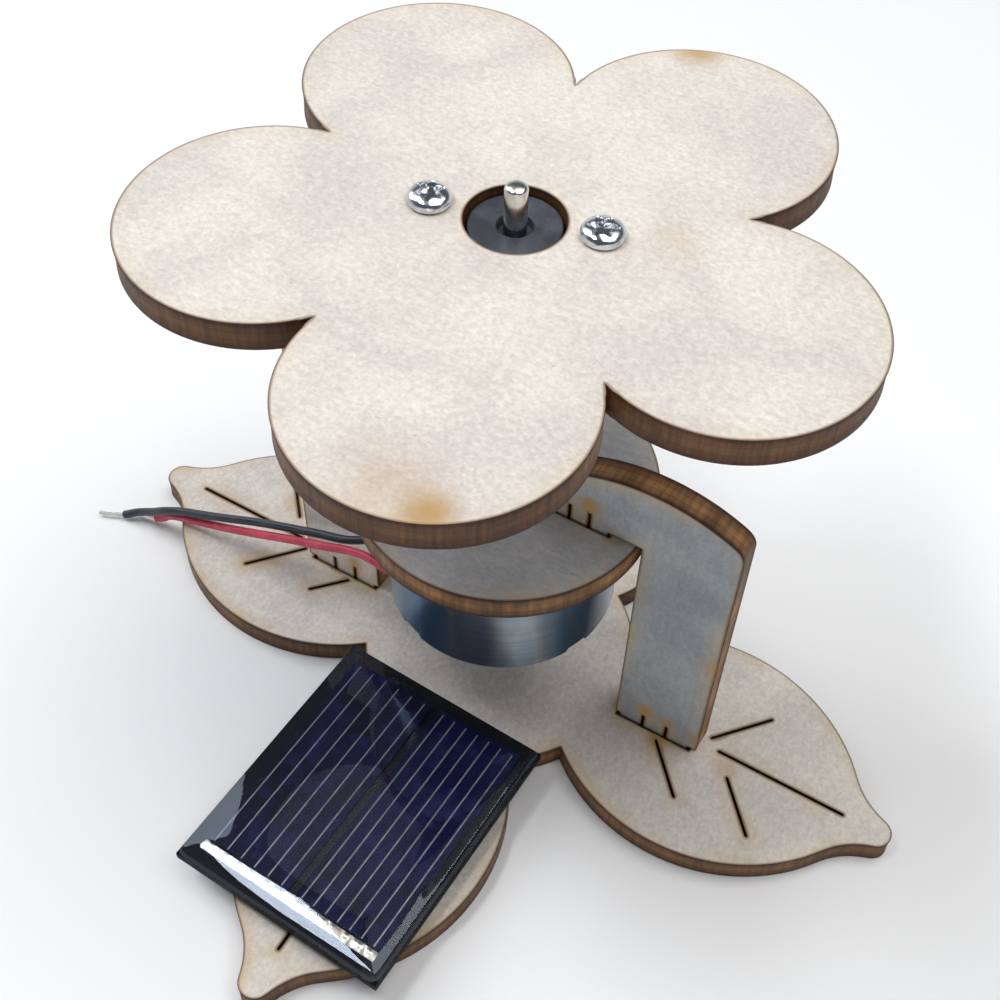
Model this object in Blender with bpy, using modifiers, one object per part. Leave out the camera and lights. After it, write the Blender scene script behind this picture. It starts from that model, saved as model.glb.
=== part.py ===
"""Solar spinning flower: laser-cut plywood, turned by a small solar motor.

Metres, +Z up. The origin is on the motor shaft's axis, at the underside of
the base board. +X runs along the two stems, and the panel leaf points to -Y.
"""
from math import acos, atan2, cos, hypot, pi, radians, sin, sqrt

import bmesh
import bpy
from mathutils import Vector

MM = 0.001

# ---- driving dimensions -------------------------------------------------
# clearances
SEAT_GAP = 0.2 * MM           # between a piece and the face it rests on
SLOT_GAP = 0.25 * MM          # round a tab in its slot
BORE_GAP = 0.3 * MM           # round the shaft and in bored seats

# plywood
PLY = 2.8 * MM
KERF = 0.4 * MM               # width of a single laser cut

# base board: a hub disc, three leaves and a short round rear lobe
BASE_HUB_R = 15.5 * MM
LEAF_SIDE_R = 20.3 * MM       # radius of a leaf's long side
LEAF_MIDDLE = 26.0 * MM       # from the axis to the widest place
LEAF_HALF_WIDTH = 13.4 * MM
LEAF_TIP_CENTRE = 46.4 * MM
LEAF_TIP_R = 1.8 * MM
LEAF_NECK_R = 9.0 * MM        # hollow curve between side and tip
LEAF_ANGLES = (180, 270, 0)   # degrees
REAR_LOBE_CENTRE = 19.0 * MM
REAR_LOBE_R = 11.0 * MM
REAR_ANGLE = 90

# stems
LEG_CLEARANCE = 0.5 * MM      # between a leg's inner edge and the motor plate
LEG_WIDTH = 10.0 * MM
STEM_ARC_CENTRE = 16.35 * MM
STEM_TOP = 38.4 * MM          # highest point above the base's top face
STEM_ARC_R = 18.4 * MM
STEM_CORNER_R = 2.0 * MM
STEM_INNER_END = 4.25 * MM    # from the axis to the end over the plate
FOOT_INNER_SHOULDER = 0.5 * MM
FOOT_OUTER_SHOULDER = 1.0 * MM
PLATE_TAB_START = 5.8 * MM    # from the axis
PLATE_TAB_RIM = 3.1 * MM      # wood left between the tab's end and the plate's edge
SLIT_RISE = 1.9 * MM          # how far a slit runs past the tab

# veins in a leaf, from the leg's outer edge: (from outward, from left, to outward, to left)
VEINS = (
    (2.2 * MM, 0.0, 16.8 * MM, 0.0),
    (0.8 * MM, 1.1 * MM, 5.6 * MM, 6.7 * MM),
    (-6.2 * MM, 2.3 * MM, -3.1 * MM, 5.7 * MM),
    (4.3 * MM, -2.5 * MM, 8.9 * MM, -7.6 * MM),
    (-4.4 * MM, -2.4 * MM, 0.3 * MM, -7.5 * MM),
)

# motor plate
PLATE_OVERHANG = 3.2 * MM     # past the motor can
PLATE_TOP = 29.96 * MM        # above the base's top face

# motor
CAN_R = 12.2 * MM
CAN_WALL = 0.8 * MM
CAN_HEIGHT = 13.7 * MM
CAN_EDGE_R = 0.6 * MM
BOSS_R = 3.0 * MM
BOSS_HEIGHT = 1.5 * MM
BUSH_R = 2.0 * MM
CRIMP_WIDTH = 2.4 * MM
CRIMP_DEPTH = 0.5 * MM
CRIMP_ANGLE = 70              # degrees, first of four
CAP_THICKNESS = 1.3 * MM
CAP_RECESS = 0.4 * MM         # the end cap's face above the can's rim
CAP_BOSS_DROP = 1.0 * MM      # its bearing boss below the rim
CAP_BOSS_WALL = 1.4 * MM
BUSH_INSET = 0.1 * MM
SHAFT_R = 1.0 * MM
SHAFT_CHAMFER = 0.3 * MM
SHAFT_OVER_FLOWER = 3.5 * MM
SHAFT_UNDER_CAP = 0.6 * MM
MAGNET_OUTER_GAP = 0.3 * MM
MAGNET_THICKNESS = 1.8 * MM
MAGNET_HEIGHT = 7.0 * MM
MAGNET_SPAN = 140             # degrees
POLE_COUNT = 3
AIR_GAP = 0.7 * MM            # between the rotor core and the magnets
CORE_HEIGHT = 5.0 * MM
CORE_HUB_R = 3.0 * MM
POLE_NECK = 2.4 * MM
POLE_SHOE = 1.9 * MM          # radial thickness of a pole's shoe
POLE_SPAN = 100               # degrees
CORE_MIDDLE = 8.2 * MM        # above the can's lower rim
COIL_WALL = 1.1 * MM
COMMUTATOR_R = 2.0 * MM
COMMUTATOR_HEIGHT = 2.2 * MM
COMMUTATOR_OVER_CAP = 0.5 * MM
BRUSH_THICKNESS = 0.25 * MM
BRUSH_HEIGHT = 1.4 * MM
BRUSH_PAST_AXIS = 1.2 * MM
TERMINAL_INSET = 2.6 * MM     # from the can's inner wall, along the terminals' line
TERMINAL_TURN = 15            # degrees, the end cap's turn about the axis
TERMINAL_WIDTH = 1.8 * MM
TERMINAL_THICKNESS = 0.4 * MM
TERMINAL_DROP = 2.2 * MM      # below the can's lower rim
JOINT_R = 0.75 * MM

# screws
SCREW_R = 0.95 * MM
SCREW_HOLE_R = 1.25 * MM
SCREW_HEAD_R = 1.9 * MM
SCREW_HEAD_HEIGHT = 1.1 * MM
SCREW_HEAD_SIDE = 0.35 * MM   # height of the head's upright side
SCREW_POINT_R = 0.25 * MM
SCREW_RECESS_R = 0.95 * MM
SCREW_RECESS_DEPTH = 0.6 * MM
MOTOR_SCREW_INSET = 0.6 * MM  # from the rotor core's outer edge, over the poles' shoes
MOTOR_SCREW_GRIP = 1.0 * MM   # thread past the can's end wall
FLOWER_SCREW_OUT = 7.35 * MM
FLOWER_SCREW_ANGLE = 15.0     # degrees
FLOWER_SCREW_SHORT = 0.4 * MM # tip short of the hub flange's far face

# flower
FLOWER_TOP = 62.5 * MM        # above the base's top face
PETAL_R = 12.3 * MM
PETAL_OUT = 20.3 * MM
PETAL_COUNT = 5
PETAL_ANGLE = 284.3           # degrees, first petal
FLOWER_HOLE_R = 4.3 * MM
HUB_UNDER_FACE = 0.65 * MM    # hub's end below the flower's top face
HUB_RECESS_R = 1.55 * MM
HUB_RECESS_DEPTH = 1.0 * MM
HUB_FLANGE_R = 10.0 * MM
HUB_FLANGE = 2.4 * MM
HUB_NECK_R = 3.3 * MM
HUB_FLARE = 3.0 * MM
HUB_LIP = 0.3 * MM            # chamfer round the boss's end
HUB_OVER_PLATE = 1.0 * MM     # running clearance above the motor plate

# solar panel
PANEL_WIDTH = 25.0 * MM
PANEL_LENGTH = 30.0 * MM
PANEL_X = -1.05 * MM
PANEL_Y = -26.1 * MM
PANEL_TURN = -2.2             # degrees
BOARD = 1.0 * MM
RESIN_OVER_BOARD = 1.6 * MM
RESIN_EDGE_R = 0.9 * MM
CELL_SIDE_MARGIN = 1.65 * MM  # from the panel's long edge to a cell
CELL_REAR_MARGIN = 1.6 * MM
CELL_FRONT_MARGIN = 3.0 * MM
CELL_THICKNESS = 0.25 * MM
CELL_SPACING = 0.9 * MM
STRIP_WIDTH = 1.0 * MM
STRIP_THICKNESS = 0.2 * MM
POCKET_GAP = 0.2 * MM         # round the cells under the resin
LAYER_GAP = 0.1 * MM          # between the panel's layers
TAPE_WIDTH = 15.0 * MM
TAPE_LENGTH = 13.0 * MM
TAPE_THICKNESS = 0.8 * MM
PAD_R = 1.5 * MM
PAD_THICKNESS = 0.35 * MM
PAD_OUT = 6.0 * MM
PAD_REAR_MARGIN = 3.5 * MM    # from the panel's rear edge to a pad's middle

# leads
LEAD_R = 0.5 * MM
TIP_R = 0.25 * MM
TIP_LENGTH = 3.0 * MM
LEAD_POINTS = 22

# ---- sizes worked out from them -----------------------------------------
PLATE_R = CAN_R + PLATE_OVERHANG
PLATE_TAB_WIDTH = PLATE_R - PLATE_TAB_RIM - PLATE_TAB_START
LEG_INNER = PLATE_R + LEG_CLEARANCE
LEG_OUTER = LEG_INNER + LEG_WIDTH
FOOT_TAB_START = LEG_INNER + FOOT_INNER_SHOULDER
FOOT_TAB_WIDTH = LEG_WIDTH - FOOT_INNER_SHOULDER - FOOT_OUTER_SHOULDER
CAN_INNER_R = CAN_R - CAN_WALL
MAGNET_OUTER_R = CAN_INNER_R - MAGNET_OUTER_GAP
MAGNET_INNER_R = MAGNET_OUTER_R - MAGNET_THICKNESS
CORE_R = MAGNET_INNER_R - AIR_GAP
TERMINAL_OUT = CAN_INNER_R - TERMINAL_INSET
MOTOR_SCREW_OUT = CORE_R - MOTOR_SCREW_INSET
MOTOR_SCREW_LENGTH = PLY + 2 * SEAT_GAP + CAN_WALL + MOTOR_SCREW_GRIP
FLOWER_SCREW_LENGTH = PLY + 2 * SEAT_GAP + HUB_FLANGE - FLOWER_SCREW_SHORT
CELL_WIDTH = (PANEL_WIDTH - CELL_SPACING) / 2 - CELL_SIDE_MARGIN
CELL_LENGTH = PANEL_LENGTH - CELL_REAR_MARGIN - CELL_FRONT_MARGIN
CELL_SHIFT = (CELL_FRONT_MARGIN - CELL_REAR_MARGIN) / 2
PAD_BACK = PANEL_LENGTH / 2 - PAD_REAR_MARGIN

# ---- heights -------------------------------------------------------------
BASE_TOP = PLY
PLATE_LOW = BASE_TOP + PLATE_TOP - PLY
PLATE_HIGH = BASE_TOP + PLATE_TOP
CAN_HIGH = PLATE_LOW - SEAT_GAP
CAN_LOW = CAN_HIGH - CAN_HEIGHT
CAP_LOW = CAN_LOW + CAP_RECESS
CAP_HIGH = CAP_LOW + CAP_THICKNESS
CAP_BOSS_LOW = CAN_LOW - CAP_BOSS_DROP
CORE_Z = CAN_LOW + CORE_MIDDLE
FLOWER_HIGH = BASE_TOP + FLOWER_TOP
FLOWER_LOW = FLOWER_HIGH - PLY
HUB_HIGH = FLOWER_HIGH - HUB_UNDER_FACE
FLANGE_HIGH = FLOWER_LOW - SEAT_GAP
FLANGE_LOW = FLANGE_HIGH - HUB_FLANGE
HUB_LOW = PLATE_HIGH + HUB_OVER_PLATE
BOARD_LOW = BASE_TOP + TAPE_THICKNESS + 2 * SEAT_GAP
BOARD_HIGH = BOARD_LOW + BOARD

# lead routes, from the motor's terminal to the free end (millimetres)
BLACK_ROUTE = (
    (-11.9, -0.7, 14.6), (-13.3, -1.3, 14.6), (-14.8, -2.2, 14.4), (-16.4, -3.0, 13.8),
    (-18.6, -3.5, 12.9), (-22.0, -3.6, 11.7), (-26.4, -3.8, 10.1), (-30.8, -4.2, 8.6),
    (-35.1, -4.8, 7.1), (-38.8, -5.3, 5.9), (-41.4, -5.7, 5.15), (-43.8, -6.1, 4.15),
    (-46.0, -6.3, 2.7), (-48.2, -6.6, 1.5), (-50.0, -7.4, 0.65),
)
RED_ROUTE = (
    (-10.7, -5.4, 14.6), (-12.3, -5.4, 14.7), (-13.9, -5.2, 14.6), (-15.4, -5.0, 14.2),
    (-17.9, -5.0, 13.3), (-20.9, -5.1, 12.0), (-25.5, -5.1, 10.0), (-30.2, -5.2, 7.9),
    (-34.9, -5.3, 5.9), (-38.7, -5.4, 4.5), (-41.0, -5.6, 3.9), (-42.8, -5.7, 3.3),
    (-44.2, -5.6, 2.3), (-45.1, -5.65, 1.4), (-46.2, -5.8, 0.8),
)

PARTS = "solar_spinning_flower"
CUTTERS = "cutters"


# ---- helpers --------------------------------------------------------------
def clear_scene():
    for item in list(bpy.data.objects):
        bpy.data.objects.remove(item, do_unlink=True)


def make_collection(name):
    collection = bpy.data.collections.new(name)
    bpy.context.scene.collection.children.link(collection)
    return collection


def material(name, colour, roughness, metallic=0.0):
    made = bpy.data.materials.new(name)
    made.use_nodes = True
    shader = made.node_tree.nodes["Principled BSDF"]
    shader.inputs["Base Color"].default_value = (*colour, 1.0)
    shader.inputs["Roughness"].default_value = roughness
    shader.inputs["Metallic"].default_value = metallic
    made.diffuse_color = (*colour, 1.0)
    return made


def link(name, data, finish, collection=PARTS):
    piece = bpy.data.objects.new(name, data)
    bpy.data.collections[collection].objects.link(piece)
    if finish is not None:
        data.materials.append(finish)
    return piece


def circle_points(radius, count, centre=(0.0, 0.0)):
    return [(centre[0] + radius * cos(2 * pi * i / count),
             centre[1] + radius * sin(2 * pi * i / count)) for i in range(count)]


def arc_points(centre, radius, start, end, count):
    """Points on an arc from angle start to angle end, both included."""
    step = (end - start) / count
    return [(centre[0] + radius * cos(start + step * i),
             centre[1] + radius * sin(start + step * i)) for i in range(count + 1)]


def circles_meet(first, first_r, second, second_r, side):
    """One of the two points where circles cross; side is +1 (left) or -1."""
    dx = second[0] - first[0]
    dy = second[1] - first[1]
    span = hypot(dx, dy)
    along = (span ** 2 + first_r ** 2 - second_r ** 2) / (2 * span)
    across = side * sqrt(first_r ** 2 - along ** 2)
    return (first[0] + (dx * along - dy * across) / span,
            first[1] + (dy * along + dx * across) / span)


def angle_to(centre, point):
    return atan2(point[1] - centre[1], point[0] - centre[0])


def turn(points, angle):
    return [(x * cos(angle) - y * sin(angle), x * sin(angle) + y * cos(angle))
            for x, y in points]


def sheet_piece(name, loops, thickness, low, finish):
    """A flat piece: the first loop is the outline, the others are holes."""
    curve = bpy.data.curves.new(name, "CURVE")
    curve.dimensions = "2D"
    curve.fill_mode = "BOTH"
    curve.extrude = thickness / 2
    for loop in loops:
        spline = curve.splines.new("POLY")
        spline.points.add(len(loop) - 1)
        for point, (x, y) in zip(spline.points, loop):
            point.co = (x, y, 0.0, 1.0)
        spline.use_cyclic_u = True
    piece = link(name, curve, finish)
    piece.location = (0.0, 0.0, low + thickness / 2)
    return piece


def smooth_mesh(mesh, angle=35):
    mesh.shade_smooth()
    mesh.set_sharp_from_angle(angle=radians(angle))


def turned(name, profile, finish, steps=40, closed=False, collection=PARTS):
    """A turned piece from (radius, height) points running down its outside."""
    mesh = bpy.data.meshes.new(name)
    count = len(profile)
    edges = [(i, i + 1) for i in range(count - 1)]
    if closed:
        edges.append((count - 1, 0))
    mesh.from_pydata([(radius, 0.0, height) for radius, height in profile], edges, [])
    piece = link(name, mesh, finish, collection)
    screw = piece.modifiers.new("turn", "SCREW")
    screw.steps = steps
    screw.render_steps = steps
    screw.use_merge_vertices = True
    screw.merge_threshold = 0.00002
    return piece


def tube_profile(outer, inner, low, high):
    return [(inner, high), (outer, high), (outer, low), (inner, low)]


def round_bar(name, radius, low, high, place, finish, steps=24, collection=PARTS):
    """A plain upright cylinder, made from a primitive."""
    bpy.ops.mesh.primitive_cylinder_add(vertices=steps, radius=radius, depth=high - low,
                                        location=(place[0], place[1], (low + high) / 2))
    return adopt(name, finish, collection)


def box(name, size, centre, finish, turn_angle=0.0, collection=PARTS):
    """A block, made from the cube primitive, with its scale applied."""
    bpy.ops.mesh.primitive_cube_add(size=1.0, location=centre,
                                    rotation=(0.0, 0.0, turn_angle))
    piece = adopt(name, finish, collection)
    for vertex in piece.data.vertices:
        vertex.co = Vector((vertex.co.x * size[0], vertex.co.y * size[1],
                            vertex.co.z * size[2]))
    return piece


def adopt(name, finish, collection):
    """Name the primitive just added and move it to its collection."""
    piece = bpy.context.object
    piece.name = name
    piece.data.name = name
    for owner in list(piece.users_collection):
        owner.objects.unlink(piece)
    bpy.data.collections[collection].objects.link(piece)
    if finish is not None:
        piece.data.materials.append(finish)
    return piece


def cut(piece, cutter):
    cutter.hide_render = True
    cutter.display_type = "WIRE"
    difference = piece.modifiers.new("cut_" + cutter.name, "BOOLEAN")
    difference.operation = "DIFFERENCE"
    difference.solver = "EXACT"
    difference.object = cutter


def bevel(piece, width, segments=2):
    rounding = piece.modifiers.new("round", "BEVEL")
    rounding.width = width
    rounding.segments = segments
    rounding.limit_method = "ANGLE"


def panel_place(x, y):
    """A place on the panel, in the part's frame."""
    angle = radians(PANEL_TURN)
    return (PANEL_X + x * cos(angle) - y * sin(angle),
            PANEL_Y + x * sin(angle) + y * cos(angle))


# ---- plywood ----------------------------------------------------------------
def leaf_side():
    """A leaf's left side, from the hub disc out to the tip's end."""
    side = (LEAF_MIDDLE, LEAF_HALF_WIDTH - LEAF_SIDE_R)
    tip = (LEAF_TIP_CENTRE, 0.0)
    start = circles_meet((0.0, 0.0), BASE_HUB_R, side, LEAF_SIDE_R, 1)
    neck = circles_meet(side, LEAF_SIDE_R + LEAF_NECK_R, tip, LEAF_TIP_R + LEAF_NECK_R, 1)
    points = arc_points(side, LEAF_SIDE_R, angle_to(side, start), angle_to(side, neck), 16)
    points += arc_points(neck, LEAF_NECK_R, angle_to(neck, side),
                         angle_to(neck, tip), 5)[1:]
    points += arc_points(tip, LEAF_TIP_R, angle_to(tip, neck), 0.0, 5)[1:]
    return points


def lobe_side():
    """The rear lobe's left side, from the hub disc out to its far end."""
    lobe = (REAR_LOBE_CENTRE, 0.0)
    start = circles_meet((0.0, 0.0), BASE_HUB_R, lobe, REAR_LOBE_R, 1)
    return arc_points(lobe, REAR_LOBE_R, angle_to(lobe, start), 0.0, 14)


def mirrored_lobe(side):
    """Both sides of a lobe, from its right foot round to its left foot."""
    right = [(x, -y) for x, y in side]
    return right + side[-2::-1]


def vein_loop(vein, angle):
    """A laser-cut line with round ends, as a hole in a leaf."""
    x0, y0, x1, y1 = vein
    x0 += LEG_OUTER
    x1 += LEG_OUTER
    heading = atan2(y1 - y0, x1 - x0)
    half = KERF / 2
    ends = arc_points((x1, y1), half, heading - pi / 2, heading + pi / 2, 3)
    ends += arc_points((x0, y0), half, heading + pi / 2, heading + 3 * pi / 2, 3)
    return turn(ends, angle)


def slot_loop(start, width):
    """The slot that a tab from start to start + width goes into."""
    half = PLY / 2 + SLOT_GAP
    return [(start - SLOT_GAP, -half), (start + width + SLOT_GAP, -half),
            (start + width + SLOT_GAP, half), (start - SLOT_GAP, half)]


def base_board(finish):
    lobes = [(angle, mirrored_lobe(leaf_side())) for angle in LEAF_ANGLES]
    lobes.append((REAR_ANGLE, mirrored_lobe(lobe_side())))
    lobes.sort()
    outline = []
    for index, (angle, lobe) in enumerate(lobes):
        placed = turn(lobe, radians(angle))
        outline += placed
        following = turn(lobes[(index + 1) % len(lobes)][1],
                         radians(lobes[(index + 1) % len(lobes)][0]))
        start = angle_to((0, 0), placed[-1])
        end = angle_to((0, 0), following[0])
        end += 2 * pi if end < start else 0.0
        outline += arc_points((0, 0), BASE_HUB_R, start, end, 4)[1:-1]
    loops = [outline]
    for angle in (0.0, pi):
        loops.append(turn(slot_loop(FOOT_TAB_START, FOOT_TAB_WIDTH), angle))
    for angle in LEAF_ANGLES:
        for vein in VEINS:
            loops.append(vein_loop(vein, radians(angle)))
    return sheet_piece("base_board", loops, PLY, 0.0, finish)


def stem_outline():
    """The right stem in its own plane, as (outward, height) points."""
    arc = (STEM_ARC_CENTRE, BASE_TOP + STEM_TOP - STEM_ARC_R)
    corner_x = LEG_OUTER - STEM_CORNER_R
    reach = STEM_ARC_R - STEM_CORNER_R
    corner = (corner_x, arc[1] + sqrt(reach ** 2 - (corner_x - arc[0]) ** 2))
    inner_angle = acos((STEM_INNER_END - arc[0]) / STEM_ARC_R)
    points = tab_points(FOOT_TAB_START, FOOT_TAB_WIDTH, SEAT_GAP, BASE_TOP)
    points = [(LEG_INNER, BASE_TOP + SEAT_GAP)] + points
    points += [(LEG_OUTER, BASE_TOP + SEAT_GAP)]
    points += arc_points(corner, STEM_CORNER_R, 0.0, angle_to(arc, corner), 4)
    points += arc_points(arc, STEM_ARC_R, angle_to(arc, corner), inner_angle, 22)[1:]
    points += [(STEM_INNER_END, PLATE_HIGH + SEAT_GAP)]
    points += tab_points(PLATE_TAB_START, PLATE_TAB_WIDTH, PLATE_LOW + SEAT_GAP, PLATE_HIGH)
    points += [(LEG_INNER, PLATE_HIGH + SEAT_GAP)]
    return points


def tab_points(start, width, low, face):
    """A tab with two spring slits, left to right, hanging below the face."""
    shoulder = face + SEAT_GAP
    slit_top = face + SLIT_RISE
    points = [(start, shoulder), (start, low)]
    for part in (1, 2):
        middle = start + width * part / 3
        points += [(middle - KERF / 2, low), (middle - KERF / 2, slit_top),
                   (middle + KERF / 2, slit_top), (middle + KERF / 2, low)]
    return points + [(start + width, low), (start + width, shoulder)]


def stem(name, side, finish):
    outline = [(side * x, z) for x, z in stem_outline()]
    if side < 0:
        outline.reverse()
    piece = sheet_piece(name, [outline], PLY, 0.0, finish)
    piece.location = (0.0, 0.0, 0.0)
    piece.rotation_euler = (pi / 2, 0.0, 0.0)
    return piece


def motor_plate(finish):
    loops = [circle_points(PLATE_R, 72), circle_points(BOSS_R + BORE_GAP, 28)]
    for angle in (0.0, pi):
        loops.append(turn(slot_loop(PLATE_TAB_START, PLATE_TAB_WIDTH), angle))
    for side in (1, -1):
        loops.append(circle_points(SCREW_HOLE_R, 16, (0.0, side * MOTOR_SCREW_OUT)))
    return sheet_piece("motor_plate", loops, PLY, PLATE_LOW, finish)


def flower_outline():
    """Equal round petals whose circles meet in sharp notches."""
    half = pi / PETAL_COUNT
    centre = (PETAL_OUT, 0.0)
    notch_out = PETAL_OUT * cos(half) + sqrt(PETAL_R ** 2 - (PETAL_OUT * sin(half)) ** 2)
    notch = (notch_out * cos(half), notch_out * sin(half))
    reach = angle_to(centre, notch)
    petal = arc_points(centre, PETAL_R, -reach, reach, 24)[:-1]
    outline = []
    for index in range(PETAL_COUNT):
        outline += turn(petal, radians(PETAL_ANGLE) + 2 * pi * index / PETAL_COUNT)
    return outline


def flower(finish):
    loops = [flower_outline(), circle_points(FLOWER_HOLE_R, 32)]
    for place in flower_screw_places():
        loops.append(circle_points(SCREW_HOLE_R, 16, place))
    return sheet_piece("flower", loops, PLY, FLOWER_LOW, finish)


def flower_screw_places():
    angle = radians(FLOWER_SCREW_ANGLE)
    return [(side * FLOWER_SCREW_OUT * cos(angle), side * FLOWER_SCREW_OUT * sin(angle))
            for side in (-1, 1)]


# ---- hub, shaft and screws -----------------------------------------------------
def flower_hub(finish):
    """Boss in the flower's hole, flange under it and a long neck."""
    bore = SHAFT_R + BORE_GAP
    boss = FLOWER_HOLE_R - BORE_GAP
    profile = [(bore, HUB_HIGH - HUB_RECESS_DEPTH), (HUB_RECESS_R, HUB_HIGH - HUB_RECESS_DEPTH),
               (HUB_RECESS_R, HUB_HIGH), (boss - HUB_LIP, HUB_HIGH), (boss, HUB_HIGH - HUB_LIP),
               (boss, FLANGE_HIGH), (HUB_FLANGE_R, FLANGE_HIGH), (HUB_FLANGE_R, FLANGE_LOW),
               (HUB_NECK_R + HUB_FLARE, FLANGE_LOW), (HUB_NECK_R, FLANGE_LOW - HUB_FLARE),
               (HUB_NECK_R, HUB_LOW), (bore, HUB_LOW)]
    hub = turned("flower_hub", profile, finish, 36, closed=True)
    for index, (x, y) in enumerate(flower_screw_places()):
        cutter = round_bar(f"hub_screw_hole_{index}", SCREW_HOLE_R, FLANGE_LOW - MM,
                           FLANGE_HIGH + MM, (x, y), None, 16, CUTTERS)
        cut(hub, cutter)
    return hub


def motor_shaft(finish):
    low = CAP_BOSS_LOW - SHAFT_UNDER_CAP
    high = FLOWER_HIGH + SHAFT_OVER_FLOWER
    narrow = SHAFT_R - SHAFT_CHAMFER
    profile = [(0.0, high), (narrow, high), (SHAFT_R, high - SHAFT_CHAMFER),
               (SHAFT_R, low + SHAFT_CHAMFER), (narrow, low), (0.0, low)]
    return turned("motor_shaft", profile, finish, 28)


def pan_screw(name, place, face, length, finish):
    """Pan-head screw with a six-lobe recess, its head just over the face."""
    seat = face + SEAT_GAP
    top = seat + SCREW_HEAD_HEIGHT
    rise = SCREW_HEAD_HEIGHT - SCREW_HEAD_SIDE
    dome = [(SCREW_HEAD_R * sin(radians(a)), seat + SCREW_HEAD_SIDE + rise * cos(radians(a)))
            for a in (0, 30, 50, 70, 90)]
    tip = seat - length
    profile = dome + [(SCREW_HEAD_R, seat), (SCREW_R, seat), (SCREW_R, tip + SCREW_R),
                      (SCREW_POINT_R, tip), (0.0, tip)]
    screw = turned(name, profile, finish, 24)
    screw.location = (place[0], place[1], 0.0)
    recess = bpy.data.curves.new("recess_" + name, "CURVE")
    recess.dimensions = "2D"
    recess.fill_mode = "BOTH"
    recess.extrude = SCREW_RECESS_DEPTH
    spline = recess.splines.new("POLY")
    lobes = [(SCREW_RECESS_R * (0.85 + 0.15 * cos(6 * a)), a)
             for a in (2 * pi * i / 36 for i in range(36))]
    spline.points.add(len(lobes) - 1)
    for point, (radius, angle) in zip(spline.points, lobes):
        point.co = (radius * cos(angle), radius * sin(angle), 0.0, 1.0)
    spline.use_cyclic_u = True
    cutter = solid_cutter("recess_" + name, recess, (place[0], place[1], top))
    cut(screw, cutter)
    return screw


def solid_cutter(name, curve, place):
    """Turn a filled curve into a welded mesh that can cut."""
    holder = bpy.data.objects.new(name + "_curve", curve)
    bpy.context.scene.collection.objects.link(holder)
    bpy.context.view_layer.update()
    graph = bpy.context.evaluated_depsgraph_get()
    mesh = bpy.data.meshes.new_from_object(holder.evaluated_get(graph))
    work = bmesh.new()
    work.from_mesh(mesh)
    bmesh.ops.remove_doubles(work, verts=work.verts, dist=0.000005)
    work.to_mesh(mesh)
    work.free()
    bpy.data.objects.remove(holder, do_unlink=True)
    cutter = link(name, mesh, None, CUTTERS)
    cutter.location = place
    return cutter


# ---- motor -------------------------------------------------------------------
def motor_can(finish):
    """Drawn steel cup, open below, with a bearing boss through the plate."""
    bore = BUSH_R + BORE_GAP
    boss_high = CAN_HIGH + BOSS_HEIGHT
    ceiling = CAN_HIGH - CAN_WALL
    edge = [(CAN_R - CAN_EDGE_R + CAN_EDGE_R * sin(radians(a)),
             CAN_HIGH - CAN_EDGE_R + CAN_EDGE_R * cos(radians(a))) for a in (0, 30, 60, 90)]
    profile = [(bore, boss_high), (BOSS_R, boss_high), (BOSS_R, CAN_HIGH)] + edge
    profile += [(CAN_R, CAN_LOW), (CAN_INNER_R, CAN_LOW), (CAN_INNER_R, ceiling), (bore, ceiling)]
    can = turned("motor_can", profile, finish, 60, closed=True)
    for index, side in enumerate((-1, 1)):
        cutter = round_bar(f"can_screw_hole_{index}", SCREW_HOLE_R, ceiling - MM, CAN_HIGH + MM,
                           (0.0, side * MOTOR_SCREW_OUT), None, 16, CUTTERS)
        cut(can, cutter)
    for index in range(4):
        angle = radians(CRIMP_ANGLE + 90 * index)
        middle = CAN_R - CAN_WALL / 2
        cutter = box(f"crimp_{index}", (CAN_WALL * 3, CRIMP_WIDTH, CRIMP_DEPTH * 2),
                     (middle * cos(angle), middle * sin(angle), CAN_LOW), None, angle, CUTTERS)
        cut(can, cutter)
    return can


def terminal_line(x, y):
    """A place in the end cap's own frame, turned with the end cap."""
    return turn([(x, y)], radians(TERMINAL_TURN))[0]


def brush_offset():
    return COMMUTATOR_R + BORE_GAP + BRUSH_THICKNESS / 2


def end_cap(finish):
    outer = CAN_INNER_R - BORE_GAP
    bore = BUSH_R + BORE_GAP
    boss = BUSH_R + CAP_BOSS_WALL
    profile = [(bore, CAP_HIGH), (outer, CAP_HIGH), (outer, CAP_LOW), (boss, CAP_LOW),
               (boss, CAP_BOSS_LOW), (bore, CAP_BOSS_LOW)]
    cap = turned("motor_end_cap", profile, finish, 48, closed=True)
    for index, side in enumerate((1, -1)):
        x, y = terminal_line(-TERMINAL_OUT, side * brush_offset())
        size = (TERMINAL_WIDTH + 2 * SLOT_GAP, TERMINAL_THICKNESS + 2 * SLOT_GAP, 4 * CAP_THICKNESS)
        cutter = box(f"terminal_slot_{index}", size, (x, y, CAP_LOW), None,
                     radians(TERMINAL_TURN), CUTTERS)
        cut(cap, cutter)
    return cap


def bearing(name, low, high, finish):
    return turned(name, tube_profile(BUSH_R, SHAFT_R + BORE_GAP, low, high), finish, 24, closed=True)


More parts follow.
